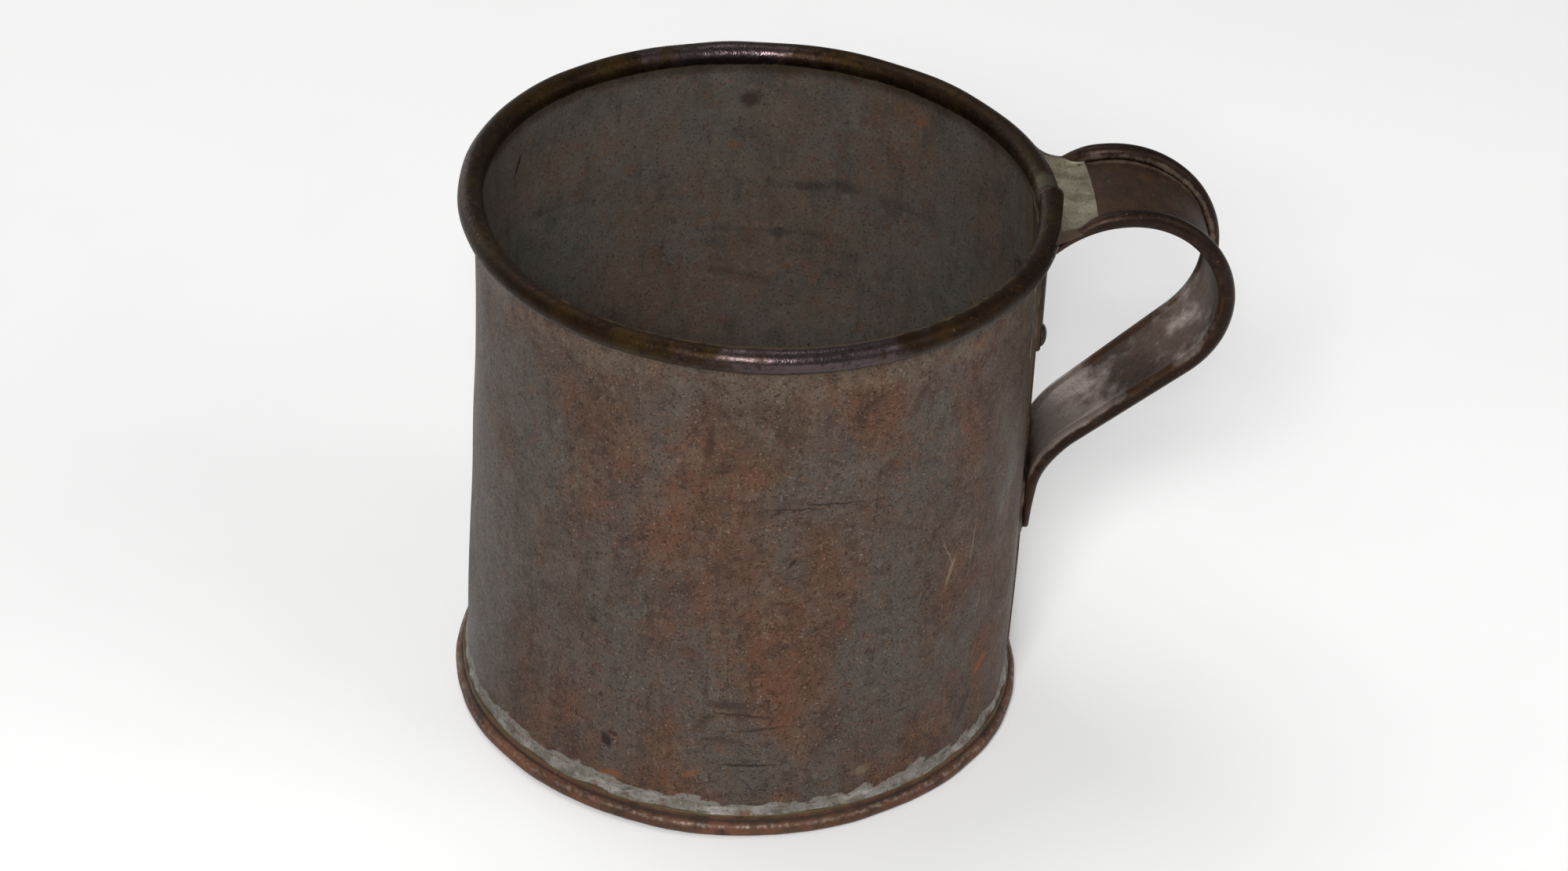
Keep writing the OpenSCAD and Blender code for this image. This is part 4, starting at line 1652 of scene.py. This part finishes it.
@dataclass
class InnerSolder:
    """Pale tapering wipe of solder inside, from the rim joint down the seam.

    Args:
        cup: the cup.
        low: height of its tip, mm.
        high: height at which it ends on the rim, mm.
        tip: half its width at the tip, mm.
        spread: how much half its width grows on the way up, mm.
        deep: thickness down its middle, mm.
        node: the CAD node it stands for.
    """

    cup: Cup
    low: float = 79.0
    high: float = 97.6
    tip: float = 1.6
    spread: float = 5.4
    deep: float = 0.34
    node: str = "inner_seam_solder"

    def build(self) -> bpy.types.Object:
        """A slab on the inner wall, thin at its edges, with a soft ridge down it.

        Returns:
            The piece.
        """
        c = self.cup
        z = np.linspace(self.low, self.high, 80)[:, None]
        v = np.linspace(-1, 1, 48)[None, :]
        half = self.tip + self.spread * smooth((z - 78) / 22) + 0.5 * waves(polar(48.0, 0.0, z), 3, 51)
        az = np.degrees(v * half / c.inner) + 0.8 * np.sin((z - 80) / 6)
        place = polar(c.inner, az, z)
        body = (1 - np.abs(v) ** 2.4) * smooth((z - self.low) / 2.5)
        height = self.deep * body - 0.07 + 0.05 * waves(place, 2.0, 52) * body
        height = height + 0.06 * waves(place, 5, 53) * body
        lean = 0.62 * smooth((z - 95.2) / 2.8)
        edge = np.clip(smooth((np.abs(v) - 0.55) / 0.45) + 1 - smooth((z - self.low) / 3), 0, 1)
        pad = wall_pad(c, az, z + 0 * az, height + lean, 0.2, edge, inward=True)
        return make_piece("inner_seam_solder_wipe", [pad], [BROWNED_SOLDER.build()], 60)


@dataclass(frozen=True)
class StrapPath:
    """The handle's side view: straight runs and arcs, followed along the finger side.

    Args:
        tab_x: distance of the tab's finger side from the cup's axis.
        tab_z: height at which the tab begins.
        foot_x: distance of the foot's inner side from the axis.
        rise: angle at which the strap leaves the rim and comes back, degrees.
        tab_len: length of the tab.
        root_r: radius of the bend from the tab to the loop.
        root_len: straight run after that bend.
        end_r: radius of the loop where it begins and ends.
        mid_r: radius of the loop's middle.
        foot_r: radius of the bend from the arm to the foot.
        foot_len: length of the foot.
    """

    tab_x: float = 49.90
    tab_z: float = 75.544
    foot_x: float = 49.35
    rise: float = 40.2
    tab_len: float = 16.8
    root_r: float = 4.5
    root_len: float = 1.3
    end_r: float = 15.6
    mid_r: float = 16.8
    foot_r: float = 16.3
    foot_len: float = 11.0

    def runs(self) -> list[tuple[float, float]]:
        """Length and clockwise turn of each run, the arm's length found from the rest."""

        def arc(radius: float, turned: float) -> tuple[float, float]:
            """An arc as length and turn."""
            return math.radians(abs(turned)) * radius, turned

        head = [(self.tab_len, 0.0), arc(self.root_r, 90 - self.rise), (self.root_len, 0.0)]
        head += [arc(self.end_r, 60), arc(self.mid_r, 60), arc(self.end_r, 60)]
        end_x = self.follow(head, np.array([sum(r[0] for r in head)]))[0][0]
        lean = math.radians(self.rise)
        arm = (end_x - self.foot_r * (1 - math.sin(lean)) - self.foot_x) / math.cos(lean)
        return head + [(arm, 0.0), arc(self.foot_r, self.rise - 90), (self.foot_len, 0.0)]

    def follow(
        self, runs: list[tuple[float, float]], s: np.ndarray
    ) -> tuple[np.ndarray, np.ndarray, np.ndarray]:
        """Place and heading after a distance s.

        On a straight run the place moves along the heading; on an arc of radius r it
        moves by r times the change of sine and cosine of the heading.

        Args:
            runs: lengths and turns.
            s: distances, mm.

        Returns:
            x, z and the heading in degrees.
        """
        x, z, h, start = self.tab_x, self.tab_z, 90.0, 0.0
        xs, zs, hs = np.zeros_like(s), np.zeros_like(s), np.zeros_like(s)
        for number, (length, turned) in enumerate(runs):
            here = s >= start if number == len(runs) - 1 else (s >= start) & (s < start + length)
            for target, part in ((here, s[here] - start), (None, np.array([length]))):
                heading = h - turned * part / length
                a, b = math.radians(h), np.radians(heading)
                if turned:
                    r = length / math.radians(turned)
                    px, pz = x + r * (math.sin(a) - np.sin(b)), z + r * (np.cos(b) - math.cos(a))
                else:
                    px, pz = x + part * math.cos(a), z + part * math.sin(a)
                if target is not None:
                    xs[target], zs[target], hs[target] = px, pz, heading
                else:
                    x, z, h = float(px[0]), float(pz[0]), float(heading[0])
            start += length
        return xs, zs, hs

    def marks(self) -> dict[str, float]:
        """Distances at which the root, loop, bend, foot and end are reached."""
        names = ("tab", "turn", "root", "loop1", "loop2", "loop", "bend", "foot", "end")
        return dict(zip(names, np.cumsum([r[0] for r in self.runs()]).tolist()))


@dataclass
class Strap:
    """The tapered strap of the handle, its edges rolled outwards over wires.

    Args:
        path: its side view.
        cup: the cup.
        sheet: its thickness.
        hem_r: radius of the edge where it is hammered flat, at both ends.
        curl_r: radius of the rolled edge.
        wire_r: radius of the wire in it.
        rim_w: width at the rim.
        tip_w: width at the tip.
        recess: how far the web is drawn out between the rolls.
        tab_corner: radius of the tab's corners.
        tip_corner: radius of the tip's corners.
        node: the CAD node it stands for.
    """

    path: StrapPath
    cup: Cup
    sheet: float = 0.5
    hem_r: float = 0.55
    curl_r: float = 1.53
    wire_r: float = 0.96
    rim_w: float = 26.0
    tip_w: float = 15.2
    recess: float = 0.35
    tab_corner: float = 1.5
    tip_corner: float = 5.0
    node: str = "handle_strap"

    def __post_init__(self) -> None:
        """Works out the path once."""
        self.runs = self.path.runs()
        self.at = self.path.marks()

    def width(self, s: np.ndarray) -> np.ndarray:
        """Width: tapers evenly from the root to the tip, less the rounded corners."""
        at = self.at

        def corner(d: np.ndarray, r: float) -> np.ndarray:
            """What a corner of radius r takes off at distance d from the end."""
            return np.where(d >= r, 0, r - np.sqrt(np.maximum(r * r - np.square(r - np.minimum(d, r)), 0)))

        taper = np.clip((s - at["root"]) / (at["end"] - at["root"]), 0, 1)
        even = self.rim_w - (self.rim_w - self.tip_w) * taper
        return even - 2 * corner(s, self.tab_corner) - 2 * corner(at["end"] - s, self.tip_corner)

    def edge_radius(self, s: np.ndarray) -> np.ndarray:
        """Radius of the rolled edge: a flat hem at both ends, a full curl between."""
        grow = np.minimum(smooth((s - self.at["root"]) / 8), smooth((self.at["end"] - 2 - s) / 20))
        return self.hem_r + (self.curl_r - self.hem_r) * grow

    def place(self, s: np.ndarray, y: np.ndarray, n: np.ndarray) -> np.ndarray:
        """A point of the strap: s along it, y across it, n out from its finger side.

        The strap is bent round the wall at both ends, which moves it towards the cup
        by the foot radius less the root of its square less y squared.

        Args:
            s: distances along the path, one column.
            y: distances across, rows by columns.
            n: distances out, rows by columns.

        Returns:
            The points.
        """
        x, z, h = self.path.follow(self.runs, s[:, 0])
        x, z, lean = x[:, None], z[:, None], np.radians(h)[:, None]
        at = self.at
        low_wrap = smooth((s - at["bend"]) / (at["foot"] - at["bend"]))
        wrap = np.maximum(1 - smooth((s - at["root"]) / 12), low_wrap)
        sag = self.path.foot_x - np.sqrt(self.path.foot_x**2 - np.square(y))
        x = x - n * np.sin(lean) - wrap * sag
        return np.stack(np.broadcast_arrays(x, y, z + n * np.cos(lean)), axis=-1)

    def section(self, s: np.ndarray, skin: float) -> tuple[np.ndarray, np.ndarray, np.ndarray]:
        """One side of the sheet's section from the left free edge to the right one.

        Each curl is an arc about its own centre from under it to just past its top and
        in again; the web joins the two, drawn out a little so that the rolls stand
        proud of it on the finger side too.

        Args:
            s: distances along the path, one column.
            skin: 0 on the finger side of the sheet, 1 on the other.

        Returns:
            y, n and the angle round the curl in degrees, which is -90 on the web.
        """
        rb = self.edge_radius(s)
        yc = self.width(s) / 2 - rb
        r = rb - skin * self.sheet
        stop = 180 + np.minimum(25, np.degrees(np.arcsin(np.clip(1 - (self.sheet + 0.05) / rb, 0, 1))))
        t = np.linspace(0, 1, 22)[None, :]
        angle = -90 + (stop + 90) * t
        curl_y, curl_n = yc + r * np.cos(np.radians(angle)), rb + r * np.sin(np.radians(angle))
        web = np.sin(np.linspace(-1, 1, 43)[None, 1:-1] * math.pi / 2) * yc
        web_n = rb - r + 0 * web
        y = np.concatenate([-curl_y[:, ::-1], web, curl_y], axis=1)
        n = np.concatenate([curl_n[:, ::-1], web_n, curl_n], axis=1)
        around = np.concatenate([angle[:, ::-1], -90 + 0 * web, angle], axis=1)
        full = (rb - self.hem_r) / (self.curl_r - self.hem_r)
        on_web = around <= -89.9
        n = n + np.where(on_web, self.recess * full * (1 - smooth((np.abs(y) - yc + 1.3) / 1.2)), 0)
        return y, n, around

    def build(self) -> bpy.types.Object:
        """Carries the section along the path and dresses it.

        Returns:
            The piece.
        """
        at = self.at
        ends = np.array([5, 4.2, 3.4, 2.7, 2.1, 1.6, 1.2, 0.8, 0.5, 0.25, 0.1, 0.0])
        starts, run = [0, 0.15, 0.45, 0.9, 1.5], np.linspace(2, at["end"] - 5.4, 190)
        s = np.concatenate([starts, run, at["end"] - ends])[:, None]
        y0, n0, a0 = self.section(s, 0.0)
        y1, n1, a1 = self.section(s, 1.0)
        y = np.concatenate([y0, y1[:, ::-1]], axis=1)
        n = np.concatenate([n0, n1[:, ::-1]], axis=1)
        around = np.concatenate([a0, a1[:, ::-1]], axis=1)
        top = np.concatenate([0 * y0, 0 * y1 + 1], axis=1)
        rb = self.edge_radius(s)
        full = (rb - self.hem_r) / (self.curl_r - self.hem_r)
        rough_place = np.stack(np.broadcast_arrays(s, y, 0 * y), axis=-1)
        web = (np.abs(y) < self.width(s) / 2 - rb - 0.6) & (around < -89)
        n = n + np.where(web, full * 0.07 * waves(rough_place, 7, 61), 0)
        points = self.place(s, y, n)
        masks = self.masks(s, y, around, top, rough_place)
        uv_cols = np.concatenate([y, y[:, :1]], axis=1)
        uv = np.stack(np.broadcast_arrays(s * MM, uv_cols * MM), axis=-1)
        surface = Surface(points, ends=Ends.STRIPS, masks=masks, uv=uv)
        return make_piece("strap_with_rolled_edges", [surface], [STRAP_IRON.build()], 40)

    def masks(
        self, s: np.ndarray, y: np.ndarray, around: np.ndarray, top: np.ndarray, place: np.ndarray
    ) -> dict[str, np.ndarray]:
        """Where the strap is rolled, rubbed, gripped or soldered, where a sheen is painted on its finger
        side, and where dirt and painted shade darken the inside of the rolls.

        Args:
            s: distances along the path.
            y: distances across.
            around: angle round the curl.
            top: 0 on the finger side of the sheet, 1 on the other.
            place: s, y and 0, for unevenness.

        Returns:
            The named masks.
        """
        at = self.at
        rb = self.edge_radius(s)
        full = (rb - self.hem_r) / (self.curl_r - self.hem_r)
        curl = smooth((around + 60) / 50)
        inner_line = np.abs(y) - (self.width(s) / 2 - 2 * rb - 0.35)
        wide = np.where(y > 0, 0.95, 0.6)
        wear_line = bell(inner_line / wide) * (top > 0.5) * (around < -89) * smooth((s - at["root"] - 3) / 6)
        crest = bell((around - 75) / 22) * 0.4
        flank = np.where(y > 0, bell((around - 176) / 26), 0.7 * bell((around - 178) / 16))
        crest = crest + flank * smooth((s - at["root"] - 2) / 5) * (1 - top)
        uneven = waves(place, 4, 71)
        root_end = at["root"] + 4.4 + 0.3 * uneven - 3.0 * curl
        solder = (1 - smooth((s - root_end) / 1.6)) * smooth((s - at["tab"] + 3) / 4)
        solder = solder * np.where(top > 0.5, 1.0, 0.4)
        foot = smooth((s - at["foot"] + 6) / 9) * 0.3
        held = smooth((s - at["loop2"] + 4) / 10) * (1 - 0.4 * smooth((s - at["foot"]) / 6))
        grip = (1 - top) * held * (1 - curl) * np.clip(0.75 + 0.25 * waves(place, 9, 72), 0, 1)
        # painted sheen: strongest at the loop and at the lower bend
        bend = 0.75 * bell((s - at["loop"] + 3) / 9) + 1.45 * bell((s - at["bend"] - 1) / 12)
        return {
            "sheen": (1 - top) * (1 - curl) * np.clip(bend * (0.85 + 0.2 * waves(place, 5, 73)), 0, 1.4),
            "roll": curl * full,
            "wear": np.clip(wear_line + crest * curl * full, 0, 1),
            "grip": grip,
            "solder": np.maximum(solder, foot * (np.abs(y) > 4)),
            # painted shade inside the rolled edges, on the turned-in side of each curl
            "grime": ((top > 0.5) & (around > 150)) * 0.8 * full + 0 * y,
        }


@dataclass
class EdgeWire:
    """The wire in one rolled edge of the strap.

    Args:
        strap: the strap.
        side: -1 for the right edge as seen from the cup, 1 for the left one.
        name: the piece's name.
        node: the CAD node it stands for.
        after_root: distance from the strap's root to the wire's start, mm.
        before_end: distance from the wire's end to the strap's tip, mm.
        sides: columns round the wire.
    """

    strap: Strap
    side: int
    name: str
    node: str
    after_root: float = 8.0
    before_end: float = 22.0
    sides: int = 14

    def build(self) -> bpy.types.Object:
        """A round rod along the curl's centre, closed at both ends.

        Returns:
            The piece.
        """
        strap = self.strap
        s = np.linspace(strap.at["root"] + self.after_root, strap.at["end"] - self.before_end, 120)
        s = np.concatenate([s[:1], s, s[-1:]])[:, None]
        radius = np.full_like(s, strap.wire_r)
        radius[0] = radius[-1] = 0.0
        a = np.radians(np.arange(self.sides) * 360 / self.sides)[None, :]
        rb = strap.edge_radius(s)
        y = self.side * (strap.width(s) / 2 - rb) + radius * np.cos(a)
        points = strap.place(s, y, rb + radius * np.sin(a))
        return make_piece(self.name, [Surface(points, ends=Ends.POLES)], [IRON_WIRE.build()], 60)


# Half a rivet's outline, outside to inside: distance from the cup's axis and radius, mm.
RIVET_OUTLINE = (
    *((50.74, 0.0), (50.73, 0.45), (50.66, 0.95), (50.5, 1.4), (50.28, 1.75), (50.08, 1.95)),
    *((49.94, 2.0), (49.92, 1.2), (49.0, 1.2), (48.2, 1.2), (48.18, 1.78), (48.05, 1.84)),
    *((47.88, 1.7), (47.76, 1.35), (47.71, 0.8), (47.70, 0.0)),
)


@dataclass
class Rivets:
    """Two rivets through the tab and the wall, hammered down at both ends.

    Args:
        cup: the cup.
        azimuth: how far each stands from the handle's middle, degrees.
        height: height of their axes, mm.
        sides: columns round each.
        node: the CAD node they stand for.
    """

    cup: Cup
    azimuth: float = 12.15
    height: float = 78.044
    sides: int = 36
    node: str = "handle_rivets"

    def build(self) -> bpy.types.Object:
        """Each rivet is a section turned about its own radial axis.

        Returns:
            The piece.
        """
        line = np.array(RIVET_OUTLINE)
        t = np.radians(np.arange(self.sides) * 360 / self.sides)[None, :]
        surfaces = []
        for number, side in enumerate((-1, 1)):
            az = math.radians(side * self.azimuth)
            out = np.array([math.cos(az), math.sin(az), 0.0])
            across = np.array([-math.sin(az), math.cos(az), 0.0])
            x, r = line[:, :1], line[:, 1:]
            ring = 1 + 0.05 * np.cos(2 * t + number) + 0.03 * np.cos(3 * t + 1.7 * number)
            head = (x > 49.95) | (x < 48.19)
            r = np.where(head, r * ring, r * np.ones_like(t))
            points = (
                x[..., None] * out
                + (r * np.cos(t))[..., None] * across
                + (r * np.sin(t) + self.height)[..., None] * np.array([0.0, 0.0, 1.0])
            )
            wear = smooth((x - 50.2) / 0.5) + smooth((47.95 - x) / 0.2) + 0 * t
            surfaces.append(Surface(points, ends=Ends.POLES, masks={"wear": wear}))
        return make_piece("tab_rivets", surfaces, [RIVET_IRON.build()], 50)


@dataclass
class UpperSolder:
    """Solder that floods the groove between rim and strap and runs down the tab.

    Args:
        cup: the cup.
        strap: the strap.
        sunk: how far the flood's start lies under the bead's face, mm.
        cover: how far it runs past the strap's root, mm.
        spill: how much further it runs along the rolled edges, mm.
        node: the CAD node it stands for.
    """

    cup: Cup
    strap: Strap
    sunk: float = 0.03
    cover: float = 5.4
    spill: float = 2.4
    node: str = "handle_upper_solder"

    def flood(self) -> Surface:
        """The saddle over the root: an arc on the bead eased into the strap's top.

        Across it, v runs from one corner to the other; along it, u runs from the rim
        to the strap.  The rim arc is wider than the strap, which makes the two flared
        corners, and a shallow sag between the two gives the wiped look.

        Returns:
            The surface.
        """
        c, strap = self.cup, self.strap
        u = np.linspace(0, 1, 34)[:, None]
        v = np.linspace(-1, 1, 91)[None, :]
        flare = np.degrees(np.arcsin((13.0 + 3.4 * np.abs(v) ** 6) / 51.5)) * v
        tube = math.radians(38)
        r = c.bead_r - self.sunk
        start = polar(c.bead_x + r * math.cos(tube), flare, c.bead_z + r * math.sin(tube))
        s_end = np.full((1, 1), strap.at["root"] + self.cover)
        half = strap.width(s_end) / 2
        y = v * (half - 0.15)
        rb = strap.edge_radius(s_end)
        lift = strap.sheet + 0.12 + strap.recess * 0.8
        bead = np.sqrt(np.maximum(rb**2 - np.square(np.maximum(np.abs(y) - (half - rb), 0)), 0))
        n = lift + (rb + bead - lift) * smooth((np.abs(y) - (half - 2.3 * rb)) / (0.9 * rb))
        reach = strap.at["root"] + self.cover + self.spill * np.abs(v) ** 3
        end = strap.place(np.full((1, 1), reach.mean()), y, n - 0.06)
        ease = smooth(u) * 0.5 + u * 0.5
        blend = (1 - ease[..., None]) * start + ease[..., None] * end
        hang = np.sin(np.pi * u) ** 1.2
        blend[..., 2] -= hang * (0.45 + 0.9 * np.abs(v) ** 4)
        pinch = hang * 1.1 * np.abs(v) ** 10
        blend[..., 1] -= np.sign(v) * pinch
        lumps = waves(blend, 3.0, 81) * 0.07 + waves(blend, 1.2, 82) * 0.025
        blend[..., 2] += lumps * hang
        bottom = blend.copy()
        bottom[..., 2] -= 0.12 + 1.7 * hang * (1 - np.abs(v) ** 8)
        rim = np.maximum(smooth((-v - 0.66) / 0.3), smooth((v - 0.84) / 0.16))
        rim = np.clip(rim + smooth((u - 0.92) / 0.08) * 0.6 + smooth((0.12 - u) / 0.12) * 0.7, 0, 1)
        return shell(blend, bottom, masks={"edge": np.concatenate([rim, rim[:, ::-1]], axis=1)})

    def build(self) -> bpy.types.Object:
        """The flood and the two fillets down the tab's edges.

        Returns:
            The piece.
        """
        c = self.cup
        surfaces = [self.flood()]
        z = np.linspace(74.9, 97.4, 70)[:, None]
        t = np.linspace(0, 1, 14)[None, :]
        for side in (-1, 1):
            flare = 1 + 1.4 * smooth((z - 90) / 7)
            ragged = 2.2 + 0.4 * waves(polar(49.0, side * 16.0, z), 4, 85 + side)
            az = side * (14.7 + t * ragged * flare * smooth((z - 74.2) / 3))
            fall = (1 - t) ** 1.5
            lumps = 0.06 * waves(polar(49.0, az, z), 2, 88) * fall
            height = 1.0 * fall * smooth((z - 74.4) / 3) - 0.07 + lumps
            lean = 1.2 * smooth((z - 94.4) / 3.0) * (1 - t) ** 0.8
            edge = smooth((t - 0.7) / 0.3) + 0 * z
            pad = wall_pad(c, az, z + 0 * az, height + lean, 0.2, edge)
            surfaces.append(replace(pad, slots=np.ones(len(z), int)))
        return make_piece("root_solder", surfaces, [OLD_SOLDER.build(), BROWNED_SOLDER.build()], 60)


@dataclass
class LowerSolder:
    """Solder under and around the strap's foot.

    Args:
        cup: the cup.
        strap: the strap.
        low: height at which it ends below the tip, mm.
        high: height at which it ends above, mm.
        half: half the width of its grid, mm.
        deep: its thickness beside the strap, mm.
        fade: distance over which it thins, mm.
        tip: height of the strap's tip, mm.
        node: the CAD node it stands for.
    """

    cup: Cup
    strap: Strap
    low: float = 30.3
    high: float = 47.2
    half: float = 12.6
    deep: float = 0.66
    fade: float = 0.75
    tip: float = 32.98
    node: str = "handle_lower_solder"

    def build(self) -> bpy.types.Object:
        """A slab whose height falls off with distance from the strap's outline.

        Returns:
            The piece.
        """
        c, strap = self.cup, self.strap
        z = np.linspace(self.low, self.high, 90)[:, None]
        y = np.linspace(-self.half, self.half, 110)[None, :]
        s = strap.at["end"] - (z - self.tip)
        taper = np.clip((s - strap.at["root"]) / (strap.at["end"] - strap.at["root"]), 0, 1)
        half = (strap.rim_w - (strap.rim_w - strap.tip_w) * taper) / 2
        side = np.maximum(np.abs(y) - (half - strap.tip_corner), 0)
        below = np.maximum(self.tip + strap.tip_corner - z, 0)
        away = np.hypot(side, below) - strap.tip_corner
        az = np.degrees(np.arcsin(y / 49.2)) + 0 * z
        place = polar(49.2, az, z)
        ragged = away + 0.35 * waves(place, 2.2, 91)
        height = self.deep * np.exp(-np.maximum(ragged, 0) / self.fade)
        height = height * (1 - smooth((z - 44.5) / 2.5)) - 0.08
        height = np.where(ragged < 0, np.minimum(height, 0.5), height) + 0.03 * waves(place, 1.5, 92)
        edge = smooth((ragged - 0.7) / 1.0)
        pad = wall_pad(c, az, z + 0 * az, height, 0.25, edge)
        return make_piece("foot_of_handle_solder", [pad], [BROWNED_SOLDER.build()], 60)


# ------------------------------------------------------------------------------- stage


@dataclass(frozen=True)
class SoftBox:
    """A square soft box: where it stands and its side in metres, and its power in watts."""

    name: str
    place: tuple[float, float, float]
    size: float
    watts: float


@dataclass
class Stage:
    """Floor, lights and camera, in metres."""

    camera_at: tuple[float, float, float] = (-0.068849, -0.732444, 0.552482)
    forward: tuple[float, float, float] = (0.084274, 0.821701, -0.563654)
    right: tuple[float, float, float] = (0.996433, -0.071940, 0.044105)
    lens: float = 116.105
    sensor: float = 36.0
    floor_half: float = 4.0
    floor_drop: float = 0.00004
    aim: tuple[float, float, float] = (0.01, 0.0, 0.05)
    sky: str = "#f6f7f9"
    sky_strength: float = 0.27
    boxes: tuple[SoftBox, ...] = (
        SoftBox("key_soft_box", (-0.25, -1.1, 0.95), 0.4, 14.0),
        SoftBox("small_soft_box", (-0.14, -1.16, 0.86), 0.1, 2.6),
        SoftBox("fill_soft_box", (1.1, -0.5, 0.9), 0.9, 5.0),
        SoftBox("top_soft_box", (-0.4, 0.5, 1.5), 1.1, 7.5),
        SoftBox("back_soft_box", (-0.9, 1.35, 0.42), 0.9, 4.5),
    )

    def add_floor(self) -> None:
        """A plain pale floor: a wide sheet of matt card with a faint tooth."""
        h, z = self.floor_half, -self.floor_drop
        mesh = bpy.data.meshes.new("floor")
        mesh.from_pydata([(-h, -h, z), (h, -h, z), (h, h, z), (-h, h, z)], [], [(0, 1, 2, 3)])
        card = Finish(
            name="matt_white_card",
            base="#f4f4f3",
            metal=0.0,
            rough=0.9,
            specular=0.1,
            patches=(Patch("#f1f1f0", 60, 0.4, 0.7, 0.5),),
            grain=(Grain(1.5, 0.01),),
        )
        mesh.materials.append(card.build())
        floor = bpy.data.objects.new("floor", mesh)
        bpy.context.scene.collection.objects.link(floor)

    def add_light(self, box: SoftBox) -> None:
        """Puts up a soft box that faces the middle of the cup.

        Args:
            box: the soft box.
        """
        lamp = bpy.data.lights.new(box.name, "AREA")
        lamp.shape, lamp.size, lamp.energy = "SQUARE", box.size, box.watts
        light = bpy.data.objects.new(box.name, lamp)
        facing = (Vector(self.aim) - Vector(box.place)).to_track_quat("-Z", "Y").to_matrix().to_4x4()
        light.matrix_world = Matrix.Translation(box.place) @ facing
        bpy.context.scene.collection.objects.link(light)

    def add_camera(self) -> None:
        """The camera, at the angle and with the lens that the object is seen with."""
        data = bpy.data.cameras.new("camera")
        data.sensor_fit, data.sensor_width, data.lens = "HORIZONTAL", self.sensor, self.lens
        data.clip_start, data.clip_end = 0.01, 50.0
        camera = bpy.data.objects.new("camera", data)
        back, right = -Vector(self.forward).normalized(), Vector(self.right).normalized()
        up = back.cross(right)
        turned = Matrix((right, up, back)).transposed().to_4x4()
        camera.matrix_world = Matrix.Translation(self.camera_at) @ turned
        bpy.context.scene.collection.objects.link(camera)
        bpy.context.scene.camera = camera

    def build(self) -> None:
        """Puts up the floor, the lights, the sky and the camera."""
        scene = bpy.context.scene
        scene.view_settings.view_transform = "Standard"
        world = bpy.data.worlds.new("soft_sky")
        world.use_nodes = True
        background = world.node_tree.nodes["Background"]
        background.inputs["Color"].default_value = linear(self.sky)
        background.inputs["Strength"].default_value = self.sky_strength
        scene.world = world
        self.add_floor()
        for box in self.boxes:
            self.add_light(box)
        self.add_camera()


def main() -> None:
    """Builds every piece in order, puts it in the CAD node's place and reports it."""
    logging.basicConfig(level=logging.INFO, format="%(name)s: %(message)s")
    cup = Cup()
    strap = Strap(StrapPath(), cup)
    parts = [
        (Wall(cup), "tinplate"),
        (RimWire(cup), "iron_wire"),
        (Bottom(cup), "tinplate"),
        (FootSolder(cup), "solder"),
        (SideSolder(cup), "solder"),
        (RimSolder(cup), "solder"),
        (InnerSolder(cup), "solder"),
        (strap, "strap"),
        (EdgeWire(strap, -1, "edge_wire_near", "handle_wire_near"), "iron_wire"),
        (EdgeWire(strap, 1, "edge_wire_far", "handle_wire_far"), "iron_wire"),
        (Rivets(cup), "iron_wire"),
        (UpperSolder(cup, strap), "solder"),
        (LowerSolder(cup, strap), "solder"),
    ]
    for part, slot in parts:
        piece = part.build()
        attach(piece, BODY)
        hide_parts(part.node)
        LOG.info("%s stands for %s: %d faces", piece.name, part.node, len(piece.data.polygons))
    Stage().build()


if __name__ == "__main__":
    main()
